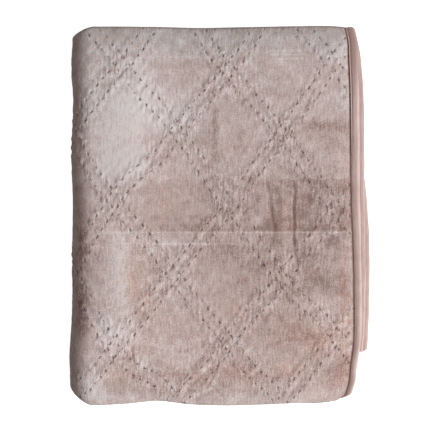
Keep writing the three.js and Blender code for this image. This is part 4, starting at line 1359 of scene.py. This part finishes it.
def velvet_material(groups):
    """Dusty pink velvet: pale where the pile stands to the light, deep and warm where it leans away."""
    material, nodes, shader = new_material("crushed velvet")
    cloth = nodes.attribute("cloth")
    state = nodes.parts(nodes.attribute("pile"))
    quilting = nodes.attribute("lattice")
    placed = [
        nodes.group(groups["pile"], Cloth=cloth), nodes.group(groups["dye"], Cloth=cloth, Size=16.0),
        nodes.group(groups["stitches"], Lattice=quilting, Wide=1.3, Long=2.3, Reach=11.0),
    ]
    effect = {output.name: output for outputs in placed for output in outputs}
    crushed = nodes.parts(quilting)[2]
    lift = nodes.times(effect["Scuffs"], nodes.scaled(effect["Rows"], *SCUFFS_NEAR_ROWS))
    for name, weight in TONE.items():
        lift = nodes.swing(effect[name], weight, lift)
    # The pile's first value brings the marks' tone, with their painted shade on the big fold and the head
    # edge.
    lift = nodes.scaled(lift, nodes.scaled(crushed, *TONE_CRUMPLED), state[0])
    dark = nodes.mix(nodes.range(lift, 0.0, 0.5), PILE_DEEP_AND_SHADE, PILE_MID)
    colour = nodes.mix(nodes.range(lift, 0.5, 1.0), dark, PILE_LIGHT)
    blush = state[1]
    for name, weight in BLUSH.items():
        blush = nodes.swing(effect[name], weight, blush)
    colour = nodes.mix(nodes.range(blush, *PINK_FROM), colour, PINK_TINT, "MULTIPLY")
    colour = nodes.mix(nodes.range(blush, *COOL_FROM), colour, COOL_TINT, "MULTIPLY")
    # Painted shade in the stitch dents.
    dent_shades = nodes.times(effect["Dents_and_shade"], nodes.scaled(crushed, *DENT_SHADE_CRUMPLED))
    colour = nodes.mix(dent_shades, colour, PILE_DEEP_AND_SHADE)
    # Painted shade in the ditch, the dents and the deeper creases.
    colour = nodes.mix(nodes.times(state[2], PAINTED_SHADE_STRENGTH), colour, PAINTED_SHADE_COLOUR)
    nodes.feed(shader["Base Color"], colour)
    set_finish(shader, 0.85, 0.18, sheen=0.35, sheen_roughness=0.42)
    beside = nodes.scaled(effect["Rows"], *CRUMPLES_NEAR_ROWS)
    height = nodes.times(nodes.times(effect["Crumples"], beside), crushed)
    for name, weight in ROUGH.items():
        height = nodes.scaled(effect[name], weight, height)
    nodes.feed(shader["Normal"], nodes.bump(height, VELVET_BUMP))
    return material


def backing_material(groups):
    """The plain cotton back of the quilt."""
    material, nodes, shader = new_material("cotton backing")
    cloth = nodes.attribute("cloth")
    weave = nodes.group(groups["weave"], Cloth=cloth, Threads=5200.0, Unevenness=1.0)
    dye = nodes.group(groups["dye"], Cloth=cloth, Size=30.0)
    sewn = nodes.group(groups["stitches"], Lattice=nodes.attribute("lattice"), Wide=0.7, Long=2.6)
    colour = nodes.mix(nodes.times(dye["Blotches"], 0.8), BACKING_COLOUR, BACKING_SHADE)
    # Painted shade in the stitch dents.
    colour = nodes.mix(nodes.times(sewn["Dents_and_shade"], 0.6), colour, BACKING_SHADE)
    colour = nodes.mix(nodes.times(weave["Gaps"], 0.35), colour, BACKING_SHADE)
    nodes.feed(shader["Base Color"], colour)
    set_finish(shader, 0.8, 0.25, sheen=0.1)
    nodes.feed(shader["Normal"], nodes.bump(weave["Height"], 0.0002, 0.8))
    return material


TAPE_PAINTED_SHADING = dict(ditch_side_shade=0.55, shaded=0.7, groove=0.9, lip=-0.7)  # how strongly each painted shade, and the lip's painted highlight, shows in its colour


def binding_material(groups):
    """Cotton tape with a soft gloss, with painted shade beside its ditch, towards the head and in its
    seam's groove, and a painted highlight on its lip.
    """
    material, nodes, shader = new_material("cotton binding")
    cloth = nodes.attribute("cloth")
    weave = nodes.group(groups["weave"], Cloth=cloth, Threads=7800.0, Unevenness=0.8)
    dye = nodes.group(groups["dye"], Cloth=cloth, Size=42.0)
    lines = nodes.noise(nodes.stretched(cloth, (18.0, 620.0, 620.0)), 1.0, 3.0, 0.6)
    shade = nodes.swing(lines, 1.7, dye["Blotches"])
    shade = nodes.swing(dye["Flecks"], 0.5, shade)
    colour = nodes.mix(nodes.range(shade, 0.2, 0.95), TAPE_COLOUR, TAPE_SHADE)
    colour = nodes.mix(nodes.times(weave["Gaps"], 0.22), colour, TAPE_SHADE)
    state = nodes.parts(nodes.attribute("state"))
    # Painted shade beside the ditch, towards the head and in the seam's groove, then a painted highlight on
    # the lip.
    colour = nodes.mix(nodes.times(state[0], TAPE_PAINTED_SHADING["ditch_side_shade"]), colour, TAPE_SHADOW_COLOUR)
    colour = nodes.mix(nodes.times(state[1], TAPE_PAINTED_SHADING["shaded"]), colour, TAPE_SHADOW_COLOUR)
    colour = nodes.mix(nodes.times(state[2], TAPE_PAINTED_SHADING["groove"], clamp=True), colour, TAPE_SHADOW_COLOUR)
    colour = nodes.mix(nodes.times(state[2], TAPE_PAINTED_SHADING["lip"], clamp=True), colour, TAPE_COLOUR)
    nodes.feed(shader["Base Color"], colour)
    set_finish(shader, 0.6, 0.25, sheen=0.08)
    height = nodes.scaled(lines, 2.2, nodes.times(weave["Height"], 0.7))
    nodes.feed(shader["Normal"], nodes.bump(height, 0.00022))
    return material


def thread_material(groups):
    """Matt quilting thread with the twist of its plies."""
    material, nodes, shader = new_material("quilting thread")
    cloth = nodes.attribute("cloth")
    twisted = nodes.stretched(cloth, (1.0, 1.4, 1.0))
    plies = nodes.add("ShaderNodeTexWave", dict(Vector=twisted, Scale=900.0))
    dye = nodes.group(groups["dye"], Cloth=cloth, Size=60.0)
    twist = plies.outputs["Fac"]
    shade = nodes.scaled(twist, 0.5, nodes.times(dye["Blotches"], 0.6))
    nodes.feed(shader["Base Color"], nodes.mix(shade, THREAD_COLOUR, THREAD_SHADE))
    set_finish(shader, 0.7, 0.3, sheen=0.1)
    nodes.feed(shader["Normal"], nodes.bump(twist, 0.0001, 0.6))
    return material


def floor_material():
    """Matt paper that looks white in the picture, and throws little light back on the big fold."""
    material, nodes, shader = new_material("white paper")
    grain = nodes.noise(nodes.add("ShaderNodeTexCoord").outputs["Object"], 400.0, 2.0)
    nodes.feed(shader["Base Color"], nodes.mix(nodes.times(grain, 0.1), FLOOR_COLOUR, FLOOR_SHADE))
    set_finish(shader, 0.9, 0.1)
    shader["Emission Color"].default_value = (1.0, 1.0, 1.0, 1.0)
    seen = nodes.add("ShaderNodeLightPath").outputs["Is Camera Ray"]
    nodes.feed(shader["Emission Strength"], nodes.times(seen, 0.95))
    return material


# The scene.


def floor():
    """A plain sheet of paper under the pile."""
    mesh = bpy.data.meshes.new("floor")
    half = FLOOR_HALF
    corners = [(-half, -half, 0), (half, -half, 0), (half, half, 0), (-half, half, 0)]
    mesh.from_pydata(corners, [], [(0, 1, 2, 3)])
    mesh.materials.append(floor_material())
    made = bpy.data.objects.new("floor", mesh)
    made.location.z = -FLOOR_DROP
    bpy.context.scene.collection.objects.link(made)


def light(name, power, size, place_at):
    """A soft square light that looks at the pile."""
    lamp = bpy.data.lights.new(name, "AREA")
    lamp.energy = power
    lamp.size = size
    made = bpy.data.objects.new(name, lamp)
    made.location = place_at
    direction = made.location.copy()
    direction.xyz = [aim - at for aim, at in zip(LIGHT_AIM, place_at)]
    made.rotation_euler = direction.to_track_quat("-Z", "Y").to_euler()
    bpy.context.scene.collection.objects.link(made)


def lights():
    """The window light comes from the right and the foot, and little reaches the big fold."""
    light("key", power=222.0, size=1.8, place_at=(3.15, -1.2, 3.0))
    light("overhead", power=26.0, size=2.4, place_at=(1.2, -0.6, 3.2))
    world = bpy.data.worlds.new("pale room")
    world.use_nodes = True
    background = world.node_tree.nodes["Background"].inputs
    background["Color"].default_value = ROOM_COLOUR
    background["Strength"].default_value = ROOM_STRENGTH
    bpy.context.scene.world = world


def camera():
    """Straight above the pile, so far off that it hardly foreshortens."""
    lens = bpy.data.cameras.new("camera")
    lens.sensor_width = SENSOR
    lens.lens = SENSOR * CAMERA_DISTANCE / FRAME_WIDTH
    lens.clip_end = 20.0
    made = bpy.data.objects.new("camera", lens)
    right, up = ((frame_at - pile_at) * MM for frame_at, pile_at in zip(FRAME_MIDDLE, PILE_MIDDLE))
    made.location = (right, up, CAD_BOX[1].z + CAMERA_DISTANCE * MM)
    bpy.context.scene.collection.objects.link(made)
    bpy.context.scene.camera = made


def dress():
    """Makes every piece, attaches it to the root body, and hides the parts of the model that it replaces.
    """
    groups = dict(
        weave=woven_threads_group(), dye=uneven_dye_group(), pile=crushed_pile_group(),
        stitches=running_stitches_group(),
    )
    binding = binding_material(groups)
    quilt = quilt_piece([velvet_material(groups), backing_material(groups)])
    tapes = {
        "side_binding_top": side_tape("side_tape_top", binding, True),
        "side_binding_lower": side_tape("side_tape_lower", binding, False),
        "foot_binding": end_tape("foot_tape", binding, True),
        "head_binding": end_tape("head_tape", binding, False),
    }
    for node, tape in tapes.items():
        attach(tape, "root")
        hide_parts(node)
    stitches = stitches_piece(thread_material(groups))
    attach(stitches, "root")
    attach(quilt, "root")
    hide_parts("quilt")


camera()
dress()
floor()
lights()
bpy.context.scene.view_settings.view_transform = "Standard"
